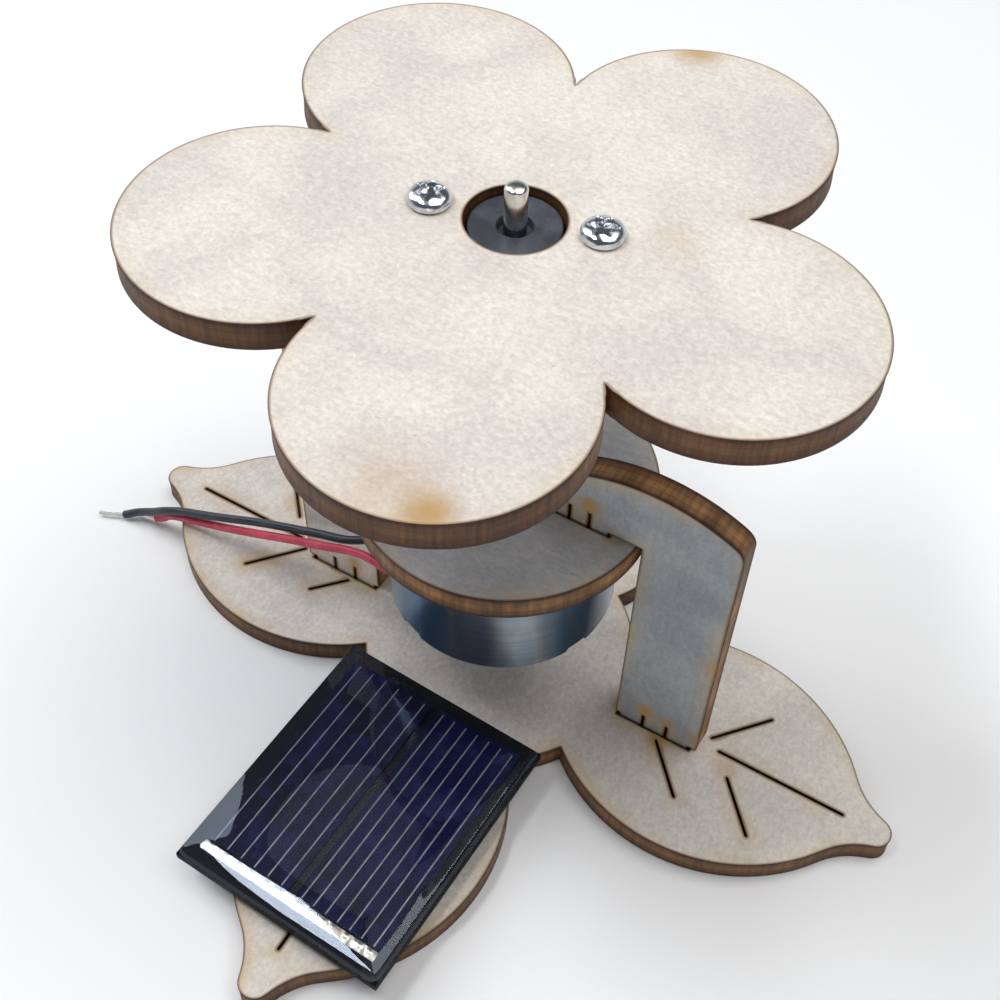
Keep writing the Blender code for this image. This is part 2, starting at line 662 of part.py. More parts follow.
def core_outline():
    """Three-pole rotor lamination: hub, necks and curved shoes."""
    neck = POLE_NECK / 2
    shoe_in = CORE_R - POLE_SHOE
    half = radians(POLE_SPAN / 2)
    hub_angle = atan2(neck, sqrt(CORE_HUB_R ** 2 - neck ** 2))
    shoe_angle = atan2(neck, sqrt(shoe_in ** 2 - neck ** 2))
    outline = []
    for index in range(POLE_COUNT):
        middle = pi / 2 + 2 * pi * index / POLE_COUNT
        outline += arc_points((0, 0), CORE_HUB_R, middle - pi / POLE_COUNT, middle - hub_angle, 3)
        outline += arc_points((0, 0), shoe_in, middle - shoe_angle, middle - half, 4)
        outline += arc_points((0, 0), CORE_R, middle - half, middle + half, 12)
        outline += arc_points((0, 0), shoe_in, middle + half, middle + shoe_angle, 4)
        outline += arc_points((0, 0), CORE_HUB_R, middle + hub_angle,
                              middle + pi / POLE_COUNT, 3)[:-1]
    return outline


def rotor_core(finish):
    loops = [core_outline(), circle_points(SHAFT_R + BORE_GAP, 20)]
    return sheet_piece("rotor_core", loops, CORE_HEIGHT, CORE_Z - CORE_HEIGHT / 2, finish)


def rotor_coil(name, index, finish):
    """A winding round one pole's neck, as a ring with square corners."""
    inner = (POLE_NECK / 2 + BORE_GAP, CORE_HEIGHT / 2 + BORE_GAP)
    outer = (inner[0] + COIL_WALL, inner[1] + COIL_WALL)
    start = CORE_HUB_R + BORE_GAP
    end = sqrt((CORE_R - POLE_SHOE) ** 2 - outer[0] ** 2) - BORE_GAP
    depth = end - start
    loops = []
    for half_width, half_height in (outer, inner):
        loops.append([(-half_width, -half_height), (half_width, -half_height),
                      (half_width, half_height), (-half_width, half_height)])
    piece = sheet_piece(name, loops, depth, 0.0, finish)
    angle = pi / 2 + 2 * pi * index / POLE_COUNT
    out = start + depth / 2
    piece.location = (out * cos(angle), out * sin(angle), CORE_Z)
    piece.rotation_euler = (pi / 2, 0.0, angle + pi / 2)
    return piece


def magnet(name, middle, finish):
    half = radians(MAGNET_SPAN / 2)
    outline = arc_points((0, 0), MAGNET_OUTER_R, middle - half, middle + half, 22)
    outline += arc_points((0, 0), MAGNET_INNER_R, middle + half, middle - half, 22)
    return sheet_piece(name, [outline], MAGNET_HEIGHT, CORE_Z - MAGNET_HEIGHT / 2, finish)


def commutator_heights():
    low = CAP_HIGH + COMMUTATOR_OVER_CAP
    return low, low + COMMUTATOR_HEIGHT


def commutator(finish):
    low, high = commutator_heights()
    profile = tube_profile(COMMUTATOR_R, SHAFT_R + BORE_GAP, low, high)
    return turned("commutator", profile, finish, 24, closed=True)


def brush(name, side, finish):
    """A thin leaf spring from its terminal to the commutator."""
    low, high = commutator_heights()
    start = -TERMINAL_OUT + TERMINAL_WIDTH / 2 + SEAT_GAP
    x, y = terminal_line((start + BRUSH_PAST_AXIS) / 2, side * brush_offset())
    return box(name, (BRUSH_PAST_AXIS - start, BRUSH_THICKNESS, BRUSH_HEIGHT),
               (x, y, (low + high) / 2), finish, radians(TERMINAL_TURN))


def terminal(name, side, finish):
    """A tab through the end cap, from beside its brush to below the rim."""
    high = sum(commutator_heights()) / 2 + BRUSH_HEIGHT / 2
    low = CAN_LOW - TERMINAL_DROP
    x, y = terminal_line(-TERMINAL_OUT, side * brush_offset())
    return box(name, (TERMINAL_WIDTH, TERMINAL_THICKNESS, high - low),
               (x, y, (low + high) / 2), finish, radians(TERMINAL_TURN))


def solder_joint(name, side, finish):
    """A bead on the terminal's lower end, which the lead goes into."""
    reach = TERMINAL_OUT + TERMINAL_WIDTH / 2 + SEAT_GAP + JOINT_R
    x, y = terminal_line(-reach, side * brush_offset())
    bpy.ops.mesh.primitive_uv_sphere_add(segments=14, ring_count=8, radius=JOINT_R,
                                         location=(x, y, joint_height()))
    return adopt(name, finish, PARTS)


def joint_height():
    return CAN_LOW - TERMINAL_DROP + JOINT_R


# ---- solar panel ---------------------------------------------------------------
def panel_box(name, size, centre, finish, collection=PARTS):
    x, y = panel_place(centre[0], centre[1])
    return box(name, size, (x, y, centre[2]), finish, radians(PANEL_TURN), collection)


def cell_place(side):
    return side * (CELL_WIDTH + CELL_SPACING) / 2, CELL_SHIFT


def strip_place():
    return CELL_SHIFT - CELL_LENGTH / 2 - POCKET_GAP - STRIP_WIDTH / 2


def solar_panel(board_finish, cell_finish, strip_finish, resin_finish, pad_finish, tape_finish):
    panel_box("panel_board", (PANEL_WIDTH, PANEL_LENGTH, BOARD),
              (0.0, 0.0, BOARD_LOW + BOARD / 2), board_finish)
    cell_low = BOARD_HIGH + LAYER_GAP
    for name, side in (("solar_cell_left", -1), ("solar_cell_right", 1)):
        x, y = cell_place(side)
        panel_box(name, (CELL_WIDTH, CELL_LENGTH, CELL_THICKNESS),
                  (x, y, cell_low + CELL_THICKNESS / 2), cell_finish)
    strip_width = 2 * CELL_WIDTH + CELL_SPACING
    panel_box("collector_strip", (strip_width, STRIP_WIDTH, STRIP_THICKNESS),
              (0.0, strip_place(), cell_low + STRIP_THICKNESS / 2), strip_finish)
    resin_cover(cell_low, resin_finish)
    tape_low = BASE_TOP + SEAT_GAP
    panel_box("mounting_tape", (TAPE_WIDTH, TAPE_LENGTH, TAPE_THICKNESS),
              (0.0, 0.0, tape_low + TAPE_THICKNESS / 2), tape_finish)
    for name, side in (("panel_pad_minus", -1), ("panel_pad_plus", 1)):
        place = panel_place(side * PAD_OUT, PAD_BACK)
        round_bar(name, PAD_R, BOARD_LOW - LAYER_GAP - PAD_THICKNESS,
                  BOARD_LOW - LAYER_GAP, place, pad_finish, 20)


def resin_cover(cell_low, finish):
    """Clear cast cover, rounded above, hollow below for cells and strip."""
    low = BOARD_HIGH + LAYER_GAP
    height = RESIN_OVER_BOARD - LAYER_GAP
    cover = panel_box("resin_cover", (PANEL_WIDTH, PANEL_LENGTH, height),
                      (0.0, 0.0, low + height / 2), finish)
    round_top_edges(cover, height)
    front = strip_place() - STRIP_WIDTH / 2 - POCKET_GAP
    rear = CELL_SHIFT + CELL_LENGTH / 2 + POCKET_GAP
    width = 2 * CELL_WIDTH + CELL_SPACING + 2 * POCKET_GAP
    pocket_high = cell_low + CELL_THICKNESS + POCKET_GAP
    depth = pocket_high - low + MM
    cutter = panel_box("resin_pocket", (width, rear - front, depth),
                       (0.0, (front + rear) / 2, pocket_high - depth / 2), None, CUTTERS)
    cut(cover, cutter)


def round_top_edges(cover, height):
    """Weight the upper and upright edges, so that Bevel rounds only them."""
    mesh = cover.data
    weights = mesh.attributes.new("bevel_weight_edge", "FLOAT", "EDGE")
    for edge in mesh.edges:
        ends = [mesh.vertices[i].co.z for i in edge.vertices]
        weights.data[edge.index].value = 1.0 if max(ends) > 0 else 0.0
    rounding = cover.modifiers.new("round", "BEVEL")
    rounding.width = RESIN_EDGE_R
    rounding.segments = 4
    rounding.limit_method = "WEIGHT"


# ---- leads -------------------------------------------------------------------
def smooth_route(route, count):
    """Evenly spread points on a Catmull-Rom curve through the route."""
    points = [Vector(p) * MM for p in route]
    padded = [points[0] * 2 - points[1]] + points + [points[-1] * 2 - points[-2]]
    fine = []
    for i in range(len(points) - 1):
        a, b, c, d = padded[i:i + 4]
        for j in range(12):
            t = j / 12
            fine.append(0.5 * (2 * b + (c - a) * t + (2 * a - 5 * b + 4 * c - d) * t ** 2
                               + (3 * b - a - 3 * c + d) * t ** 3))
    fine.append(points[-1])
    lengths = [0.0]
    for first, second in zip(fine, fine[1:]):
        lengths.append(lengths[-1] + (second - first).length)
    even = []
    place = 0
    for k in range(count):
        target = lengths[-1] * k / (count - 1)
        while place < len(fine) - 2 and lengths[place + 1] < target:
            place += 1
        share = (target - lengths[place]) / (lengths[place + 1] - lengths[place])
        even.append(fine[place].lerp(fine[place + 1], share))
    return even


def wire(name, points, radius, finish):
    curve = bpy.data.curves.new(name, "CURVE")
    curve.dimensions = "3D"
    curve.bevel_depth = radius
    curve.bevel_resolution = 2
    curve.use_fill_caps = True
    spline = curve.splines.new("POLY")
    spline.points.add(len(points) - 1)
    for point, place in zip(spline.points, points):
        point.co = (*place, 1.0)
    return link(name, curve, finish)


def lead(colour_name, route, finish, tip_finish):
    points = smooth_route(route, LEAD_POINTS)
    wire(colour_name + "_lead", points, LEAD_R, finish)
    heading = (points[-1] - points[-2])
    heading.z = 0.0
    heading.normalize()
    start = points[-1] + heading * BORE_GAP
    wire(colour_name + "_tip", [start, start + heading * TIP_LENGTH], TIP_R, tip_finish)


# ---- assembly -------------------------------------------------------------------
def hang_on_axis(names):
    """Parent the turning pieces to an empty on the shaft's axis."""
    axis = bpy.data.objects.new("flower_axis", None)
    bpy.data.collections[PARTS].objects.link(axis)
    for name in names:
        bpy.data.objects[name].parent = axis


def build():
    clear_scene()
    make_collection(PARTS)
    make_collection(CUTTERS)
    birch = material("birch_plywood", (0.78, 0.70, 0.60), 0.6)
    black_plastic = material("black_plastic", (0.05, 0.055, 0.065), 0.45)
    steel = material("steel", (0.62, 0.64, 0.67), 0.25, 1.0)
    zinc = material("zinc_plate", (0.70, 0.72, 0.75), 0.3, 1.0)
    brass = material("brass", (0.72, 0.55, 0.28), 0.35, 1.0)
    bronze = material("sintered_bronze", (0.50, 0.36, 0.22), 0.5, 1.0)
    iron = material("core_iron", (0.32, 0.32, 0.34), 0.5, 1.0)
    copper = material("enamelled_copper", (0.62, 0.26, 0.12), 0.35, 1.0)
    ferrite = material("ferrite", (0.09, 0.09, 0.10), 0.7)
    silicon = material("solar_cell_blue", (0.01, 0.015, 0.07), 0.25)
    laminate = material("panel_laminate", (0.03, 0.04, 0.05), 0.5)
    resin = material("clear_resin", (0.02, 0.03, 0.08), 0.05)
    tinned = material("tinned_copper", (0.75, 0.75, 0.74), 0.35, 1.0)
    foam = material("white_foam_tape", (0.82, 0.82, 0.80), 0.9)
    red_pvc = material("red_pvc", (0.50, 0.04, 0.08), 0.4)
    black_pvc = material("black_pvc", (0.02, 0.025, 0.03), 0.4)

    base_board(birch)
    stem("left_stem", -1, birch)
    stem("right_stem", 1, birch)
    motor_plate(birch)
    flower(birch)

    motor_can(zinc)
    end_cap(black_plastic)
    bearing("upper_bearing", CAN_HIGH - CAN_WALL, CAN_HIGH + BOSS_HEIGHT - BUSH_INSET, bronze)
    bearing("lower_bearing", CAP_BOSS_LOW + BUSH_INSET, CAP_HIGH, bronze)
    motor_shaft(steel)
    rotor_core(iron)
    for index, letter in enumerate("abc"):
        rotor_coil("rotor_coil_" + letter, index, copper)
    magnet("magnet_left", pi, ferrite)
    magnet("magnet_right", 0.0, ferrite)
    commutator(brass)
    for kind, side in (("negative", 1), ("positive", -1)):
        brush(kind + "_brush", side, brass)
        terminal(kind + "_terminal", side, tinned)
        solder_joint(kind + "_joint", side, tinned)
    for name, side in (("motor_screw_front", -1), ("motor_screw_rear", 1)):
        pan_screw(name, (0.0, side * MOTOR_SCREW_OUT), PLATE_HIGH, MOTOR_SCREW_LENGTH, steel)

    flower_hub(black_plastic)
    for name, place in zip(("flower_screw_left", "flower_screw_right"), flower_screw_places()):
        pan_screw(name, place, FLOWER_HIGH, FLOWER_SCREW_LENGTH, steel)

    solar_panel(laminate, silicon, tinned, resin, tinned, foam)
    lead("black", BLACK_ROUTE, black_pvc, tinned)
    lead("red", RED_ROUTE, red_pvc, tinned)

    hang_on_axis(("flower", "flower_hub", "flower_screw_left", "flower_screw_right",
                  "motor_shaft", "rotor_core", "rotor_coil_a", "rotor_coil_b",
                  "rotor_coil_c", "commutator"))


build()
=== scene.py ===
import bpy
import numpy as np
from mathutils import Matrix, Vector
from mathutils.geometry import delaunay_2d_cdt


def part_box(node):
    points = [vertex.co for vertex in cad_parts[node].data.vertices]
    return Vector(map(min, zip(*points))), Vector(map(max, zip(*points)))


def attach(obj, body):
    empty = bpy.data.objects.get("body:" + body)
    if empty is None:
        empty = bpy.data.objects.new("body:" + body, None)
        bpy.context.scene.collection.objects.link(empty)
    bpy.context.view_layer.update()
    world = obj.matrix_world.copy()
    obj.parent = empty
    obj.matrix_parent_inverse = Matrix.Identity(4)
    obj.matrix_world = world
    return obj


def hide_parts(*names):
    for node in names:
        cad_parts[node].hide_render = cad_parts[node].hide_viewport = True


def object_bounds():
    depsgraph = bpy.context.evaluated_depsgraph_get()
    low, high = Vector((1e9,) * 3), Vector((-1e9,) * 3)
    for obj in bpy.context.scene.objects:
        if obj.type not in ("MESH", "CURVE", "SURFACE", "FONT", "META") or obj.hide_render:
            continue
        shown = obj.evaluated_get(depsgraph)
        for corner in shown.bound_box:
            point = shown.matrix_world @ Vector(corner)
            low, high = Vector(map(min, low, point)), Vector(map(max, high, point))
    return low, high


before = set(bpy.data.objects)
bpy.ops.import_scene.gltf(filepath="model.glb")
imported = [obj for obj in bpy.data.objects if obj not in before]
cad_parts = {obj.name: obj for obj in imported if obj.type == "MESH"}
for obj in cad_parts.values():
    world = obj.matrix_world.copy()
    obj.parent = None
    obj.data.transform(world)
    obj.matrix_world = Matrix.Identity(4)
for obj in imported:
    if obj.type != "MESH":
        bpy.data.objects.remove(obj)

mm = 0.001
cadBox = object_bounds()
print("frame loaded")

# the camera looks down on the flower from the front right
viewpoint = {
    "place": (43.87, -78.81, 140.86),  # millimetres
    "heading": -27.85,  # degrees from +Y
    "down": 50.634,
    "roll": 3.080,
    "lens": 50.92,
    "shift": (-0.0252, -0.0138),
}


def addCamera(setup):
    heading, down, roll = np.radians([setup[key] for key in ("heading", "down", "roll")])
    forward = np.array((np.sin(heading) * np.cos(down), np.cos(heading) * np.cos(down), -np.sin(down)))
    level = np.array((np.cos(heading), -np.sin(heading), 0.0))
    raised = np.cross(level, forward)
    right = np.cos(roll) * level + np.sin(roll) * raised
    top = np.cos(roll) * raised - np.sin(roll) * level
    camera = bpy.data.objects.new("camera", bpy.data.cameras.new("camera"))
    bpy.context.scene.collection.objects.link(camera)
    turn = Matrix(np.stack((right, top, -forward), 1).tolist()).to_4x4()
    camera.matrix_world = Matrix.Translation([mm * x for x in setup["place"]]) @ turn
    camera.data.lens = setup["lens"]
    camera.data.shift_x, camera.data.shift_y = setup["shift"]
    camera.data.clip_start = 0.005
    bpy.context.scene.camera = camera


addCamera(viewpoint)
print("camera placed")


# a display colour, 0 to 255, as the linear colour that a shader takes
def tone(red, green, blue):
    shown = np.array((red, green, blue)) / 255
    linear = np.where(shown < 0.04045, shown / 12.92, ((shown + 0.055) / 1.055) ** 2.4)
    return (*linear.tolist(), 1.0)


def newFinish(name):
    finish = bpy.data.materials.new(name)
    finish.use_nodes = True
    return finish, finish.node_tree, finish.node_tree.nodes["Principled BSDF"]


# adds a shader node; inputs hold plain values or another node's output
def addNode(tree, kind, inputs, **settings):
    made = tree.nodes.new("ShaderNode" + kind)
    for key, value in settings.items():
        setattr(made, key, value)
    for key, value in inputs.items():
        if isinstance(value, bpy.types.NodeSocket):
            tree.links.new(value, made.inputs[key])
        else:
            made.inputs[key].default_value = value
    return made


def objectPlace(tree, stretch=(1, 1, 1)):
    place = addNode(tree, "TexCoord", {}).outputs["Object"]
    return addNode(tree, "Mapping", {"Vector": place, "Scale": stretch}).outputs[0]


def speckle(tree, place, scale, detail=4.0, rough=0.6, warp=0.0):
    inputs = {"Vector": place, "Scale": scale, "Detail": detail, "Roughness": rough, "Distortion": warp}
    return addNode(tree, "TexNoise", inputs).outputs[0]


# runs from start to end as the value goes from low to high
def ease(tree, value, low, high, start=0.0, end=1.0):
    inputs = {"Value": value, "From Min": low, "From Max": high, "To Min": start, "To Max": end}
    return addNode(tree, "MapRange", inputs, interpolation_type="SMOOTHSTEP").outputs[0]


def calc(tree, operation, *values):
    return addNode(tree, "Math", dict(enumerate(values)), operation=operation).outputs[0]


def mixTone(tree, share, first, second, way="MIX"):
    inputs = {0: share, 6: first, 7: second}
    return addNode(tree, "Mix", inputs, data_type="RGBA", blend_type=way).outputs[2]


# a ramp of colours, each at its place from 0 to 1
def toneSteps(tree, value, steps):
    made = addNode(tree, "ValToRGB", {0: value})
    while len(made.color_ramp.elements) < len(steps):
        made.color_ramp.elements.new(1.0)
    for element, (place, colour) in zip(made.color_ramp.elements, steps):
        element.position, element.color = place, colour
    return made.outputs[0]


# bumps the surface by depth, in metres, as height goes from 0 to 1
def relief(tree, shader, height, depth, strength=1.0):
    bump = addNode(tree, "Bump", {"Height": height, "Distance": depth, "Strength": strength})
    tree.links.new(bump.outputs[0], shader.inputs["Normal"])


# links patterns to the shader's colour and roughness
def drive(tree, shader, **sockets):
    for key, value in sockets.items():
        tree.links.new(value, shader.inputs[{"colour": "Base Color", "rough": "Roughness"}[key]])


# soft rubbery insulation, with faint drawing marks and dust
def insulationFinish(name, colour, paler):
    finish, tree, shader = newFinish(name)
    smudge = speckle(tree, objectPlace(tree), 420, 5)
    colours = mixTone(tree, ease(tree, smudge, 0.35, 0.75), colour, paler)
    drive(tree, shader, colour=colours, rough=ease(tree, smudge, 0.3, 0.7, 0.34, 0.5))
    relief(tree, shader, speckle(tree, objectPlace(tree, (0.2, 1, 1)), 2600), 0.00001, 0.5)
    return finish


# tinned or plated metal: bright, with dull patches and fine marks
def platedFinish(name, colour, duller, rough=(0.16, 0.38), scale=500, stretch=(1, 1, 1), marks=0.4):
    finish, tree, shader = newFinish(name)
    shader.inputs["Metallic"].default_value = 1.0
    patches = speckle(tree, objectPlace(tree), scale, 6)
    lines = speckle(tree, objectPlace(tree, stretch), 3200, 3, 0.7)
    drive(tree, shader, colour=mixTone(tree, ease(tree, patches, 0.35, 0.7), colour, duller),
          rough=ease(tree, calc(tree, "ADD", patches, calc(tree, "MULTIPLY", lines, 0.5)),
                     0.5, 1.0, *rough))
    relief(tree, shader, lines, 0.000008, marks)
    return finish


tinned = platedFinish("tinned", tone(214, 212, 206), tone(168, 164, 156), (0.2, 0.42))

# the two motor leads, from the terminals to their bare ends, in metres
leads = {
    "black": {
        "node": "black_lead", "tipNode": "black_tip", "length": 0.0418, "slot": "black_insulation",
        "finish": insulationFinish("black insulation", tone(24, 31, 38), tone(44, 54, 64)),
        "route": (
            (-0.0119, -0.0007, 0.0146), (-0.0133, -0.0013, 0.0146), (-0.0148, -0.0022, 0.0144),
            (-0.0164, -0.0030, 0.0138), (-0.0186, -0.0035, 0.0129), (-0.0220, -0.0036, 0.0117),
            (-0.0264, -0.0038, 0.0101), (-0.0308, -0.0042, 0.0086), (-0.0351, -0.0048, 0.0071),
            (-0.0388, -0.0053, 0.0059), (-0.0414, -0.0057, 0.00515), (-0.0438, -0.0061, 0.00415),
            (-0.0460, -0.0063, 0.0027), (-0.0482, -0.0066, 0.0015), (-0.0500, -0.0074, 0.00065),
        ),
    },
    "red": {
        "node": "red_lead", "tipNode": "red_tip", "length": 0.0386, "slot": "red_insulation",
        "finish": insulationFinish("red insulation", tone(166, 30, 60), tone(196, 66, 90)),
        "route": (
            (-0.0107, -0.0054, 0.0146), (-0.0123, -0.0054, 0.0147), (-0.0139, -0.0052, 0.0146),
            (-0.0154, -0.0050, 0.0142), (-0.0179, -0.0050, 0.0133), (-0.0209, -0.0051, 0.0120),
            (-0.0255, -0.0051, 0.0100), (-0.0302, -0.0052, 0.0079), (-0.0349, -0.0053, 0.0059),
            (-0.0387, -0.0054, 0.0045), (-0.0410, -0.0056, 0.0039), (-0.0428, -0.0057, 0.0033),
            (-0.0442, -0.0056, 0.0023), (-0.0451, -0.00565, 0.0014), (-0.0462, -0.0058, 0.0008),
        ),
    },
}
leadMake = {"radius": 0.5 * mm, "stretchPoints": 6, "roundness": 6}
tipMake = {"length": 3.2 * mm, "start": 0.4 * mm, "strands": 6, "lay": 0.16 * mm,
           "strandRadius": 0.078 * mm, "turns": 1.6, "rows": 30, "sides": 8}


# the index of each quad on a grid of rows and columns, closed round the columns and, if asked, the rows
def gridFaces(rows, columns, ringRows=False, ringColumns=True, first=0):
    row, column = np.meshgrid(np.arange(rows if ringRows else rows - 1),
                              np.arange(columns if ringColumns else columns - 1), indexing="ij")
    below, beside = (row + 1) % rows, (column + 1) % columns
    corners = (row * columns + column, below * columns + column, below * columns + beside,
               row * columns + beside)
    return first + np.stack(corners, -1).reshape(-1, 4)


# puts corners and faces into a mesh that rides on a body
def addPiece(name, corners, faces, finish, body, nodes=(), crease=35, values=None):
    mesh = bpy.data.meshes.new(name)
    mesh.from_pydata(corners.tolist(), [], [row for part in faces for row in np.asarray(part).tolist()])
    for key, numbers in (values or {}).items():
        mesh.attributes.new(key, "FLOAT", "POINT").data.foreach_set("value", numbers.astype(np.float32))
    mesh.materials.append(finish)
    mesh.shade_smooth()
    mesh.set_sharp_from_angle(angle=np.radians(crease))
    piece = bpy.data.objects.new(name, mesh)
    bpy.context.scene.collection.objects.link(piece)
    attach(piece, body)
    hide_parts(*nodes)
    return piece


# a cubic through each pair of points, leaving each along the line between its two neighbours
def smoothRoute(route, count):
    points = np.array(route)
    points = np.vstack((2 * points[0] - points[1], points, 2 * points[-1] - points[-2]))
    a, b, c, d = (points[k:len(points) - 3 + k, None] for k in range(4))
    t = np.linspace(0, 1, count, endpoint=False)[None, :, None]
    curve = 0.5 * (2 * b + (c - a) * t + (2 * a - 5 * b + 4 * c - d) * t ** 2
                   + (3 * b - a - 3 * c + d) * t ** 3)
    return np.vstack((curve.reshape(-1, 3), points[-2]))


# a lead is a round tube along its smoothed route
def addLead(name, lead, make):
    points = smoothRoute(lead["route"], make["stretchPoints"])
    curve = bpy.data.curves.new(name, "CURVE")
    curve.dimensions = "3D"
    curve.bevel_depth = make["radius"]
    curve.bevel_resolution = make["roundness"]
    curve.use_fill_caps = True
    spline = curve.splines.new("POLY")
    spline.points.add(len(points) - 1)
    spline.points.foreach_set("co", np.c_[points, np.ones(len(points))].ravel())
    spline.use_smooth = True
    curve.materials.append(lead["finish"])
    piece = bpy.data.objects.new(name, curve)
    bpy.context.scene.collection.objects.link(piece)
    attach(piece, "stand")
    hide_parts(lead["node"])
    return piece, points


# a tip is a few strands, each a tube round a helix about the lead's own line
def addTip(name, lead, points, make):
    ahead = points[-1] - points[-2]
    ahead[2] = 0.0
    ahead /= np.linalg.norm(ahead)
    side, up = np.array((-ahead[1], ahead[0], 0.0)), np.array((0.0, 0.0, 1.0))
    rows, sides = make["rows"], make["sides"]
    along = np.linspace(-make["start"], make["length"], rows)[None, :, None, None]
    start = (2 * np.pi * np.arange(make["strands"]) / make["strands"])[:, None, None, None]
    around = (2 * np.pi * np.arange(sides) / sides)[None, None, :, None]
    twist = start + 2 * np.pi * make["turns"] * along / make["length"]
    lay, thick = make["lay"], make["strandRadius"]
    middle = points[-1] + ahead * along + lay * (np.cos(twist) * side + np.sin(twist) * up)
    thin = thick * np.where(along > make["length"] * 0.985, 0.6, 1.0)
    corners = (middle + thin * (np.cos(around) * side + np.sin(around) * up)).reshape(-1, 3)
    faces = []
    for first in range(0, len(corners), rows * sides):
        last = first + rows * sides - 1
        faces.append(gridFaces(rows, sides, first=first)[:, ::-1])
        faces.append([range(first, first + sides)])
        faces.append([range(last, last - sides, -1)])
    return addPiece(name, corners, faces, tinned, "stand", [lead["tipNode"]], 60)


for colour, lead in leads.items():
    leadPiece, leadLine = addLead(colour + "Lead", lead, leadMake)
    tipPiece = addTip(colour + "Tip", lead, leadLine, tipMake)
    print(colour, "lead laid", round(float(np.linalg.norm(np.diff(leadLine, axis=0), axis=1).sum()), 5))

# laser-cut birch plywood
cutEdge = {"arris": 0.09 * mm, "taper": 0.05 * mm, "hollow": 0.04 * mm, "rings": (0.25, 0.6, 1.1, 1.8),
           "grid": 1.9, "gridFrom": 2.4, "reach": 60, "slack": 0.94, "slitProbe": 0.5 * mm,
           "slitShift": 0.09 * mm, "crease": 30}


# birch face veneer: mottled flecks, fine pores along the grain, tan scorching near the cuts and in spots;
# the cut wall shows three charred plies with dark glue lines and the beam's fine upright lines
def plywoodFinish(name, grain, upright, face, greyer, marks, halo, wall, evenness):
    finish, tree, shader = newFinish(name)
    cut, depth, onWall = (addNode(tree, "Attribute", {}, attribute_name=key).outputs["Fac"]
                          for key in ("cutDistance", "plyDepth", "onWall"))
    place = addNode(tree, "TexCoord", {}).outputs["Object"]
    along = objectPlace(tree, grain)
    clouds = speckle(tree, place, 95, 4, 0.55, 0.4)
    flecks = speckle(tree, along, 1900, 6, 0.7)
    fine = speckle(tree, place, 2600, 3, 0.7)
    pores = speckle(tree, objectPlace(tree, [g ** 1.7 for g in grain]), 2300, 3, 0.5)
    veneer = mixTone(tree, ease(tree, clouds, 0.36, 0.66), face, greyer)
    light = calc(tree, "ADD", ease(tree, flecks, 0.36, 0.66, 0.88, 1.05),
                 ease(tree, fine, 0.32, 0.68, -0.06, 0.06))
    light = calc(tree, "MULTIPLY", light, ease(tree, pores, 0.66, 0.76, 1.0, 0.82))
    veneer = mixTone(tree, 1.0, veneer,
                     addNode(tree, "CombineColor", {0: light, 1: light, 2: light}).outputs[0], "MULTIPLY")
    smoke = speckle(tree, place, 150, 3, 0.5)
    near = calc(tree, "MULTIPLY", ease(tree, cut, 2.2, 0.0),
                ease(tree, smoke, 0.34, 0.68, 0.05, 0.62 * halo))
    veneer = mixTone(tree, near, veneer, tone(196, 168, 112))
    veneer = mixTone(tree, ease(tree, cut, 0.34, 0.02, 0.0, 0.8), veneer, tone(124, 92, 60))
    for spot, size, strength in marks:
        away = addNode(tree, "VectorMath", {0: place, 1: [mm * x for x in spot]},
                       operation="DISTANCE").outputs["Value"]
        ragged = calc(tree, "MULTIPLY", ease(tree, away, size * mm, 0.0),
                      ease(tree, smoke, 0.2, 0.7, 0.35, 1.2))
        veneer = mixTone(tree, calc(tree, "MINIMUM", calc(tree, "MULTIPLY", ragged, strength), 0.95),
                         veneer, tone(176, 138, 76))
    beam = speckle(tree, objectPlace(tree, upright), 2100, 3, 0.6)
    drift = speckle(tree, place, 130, 3, 0.6)
    plies = toneSteps(tree, calc(tree, "ADD", depth, ease(tree, drift, 0.3, 0.7, -0.03, 0.03)), (
        (0.0, tone(40, 26, 20)), (0.09, tone(70, 44, 30)), (0.2, tone(130, 92, 56)),
        (0.33, tone(140, 100, 62)), (0.36, tone(116, 82, 52)), (0.4, tone(150, 112, 70)),
        (0.62, tone(144, 104, 64)), (0.66, tone(112, 78, 50)), (0.7, tone(128, 88, 54)),
        (0.82, tone(112, 76, 48)), (0.93, tone(60, 38, 26)), (1.0, tone(34, 22, 16))))
    plies = mixTone(tree, evenness, plies, tone(84, 48, 26))
    char = calc(tree, "MULTIPLY", ease(tree, beam, 0.25, 0.75, 0.62, 1.22),
                ease(tree, drift, 0.35, 0.7, 0.6, 1.15 * wall))
    plies = mixTone(tree, 1.0, plies,
                    addNode(tree, "CombineColor", {0: char, 1: char, 2: char}).outputs[0], "MULTIPLY")
    drive(tree, shader, colour=mixTone(tree, onWall, veneer, plies),
          rough=ease(tree, flecks, 0.3, 0.7, 0.52, 0.68))
    shader.inputs["Specular IOR Level"].default_value = 0.32
    rise = addNode(tree, "Mix", {0: onWall, 2: calc(tree, "ADD", flecks, pores), 3: beam},
                   data_type="FLOAT").outputs[0]
    relief(tree, shader, rise, 0.00003, 0.55)
    return finish


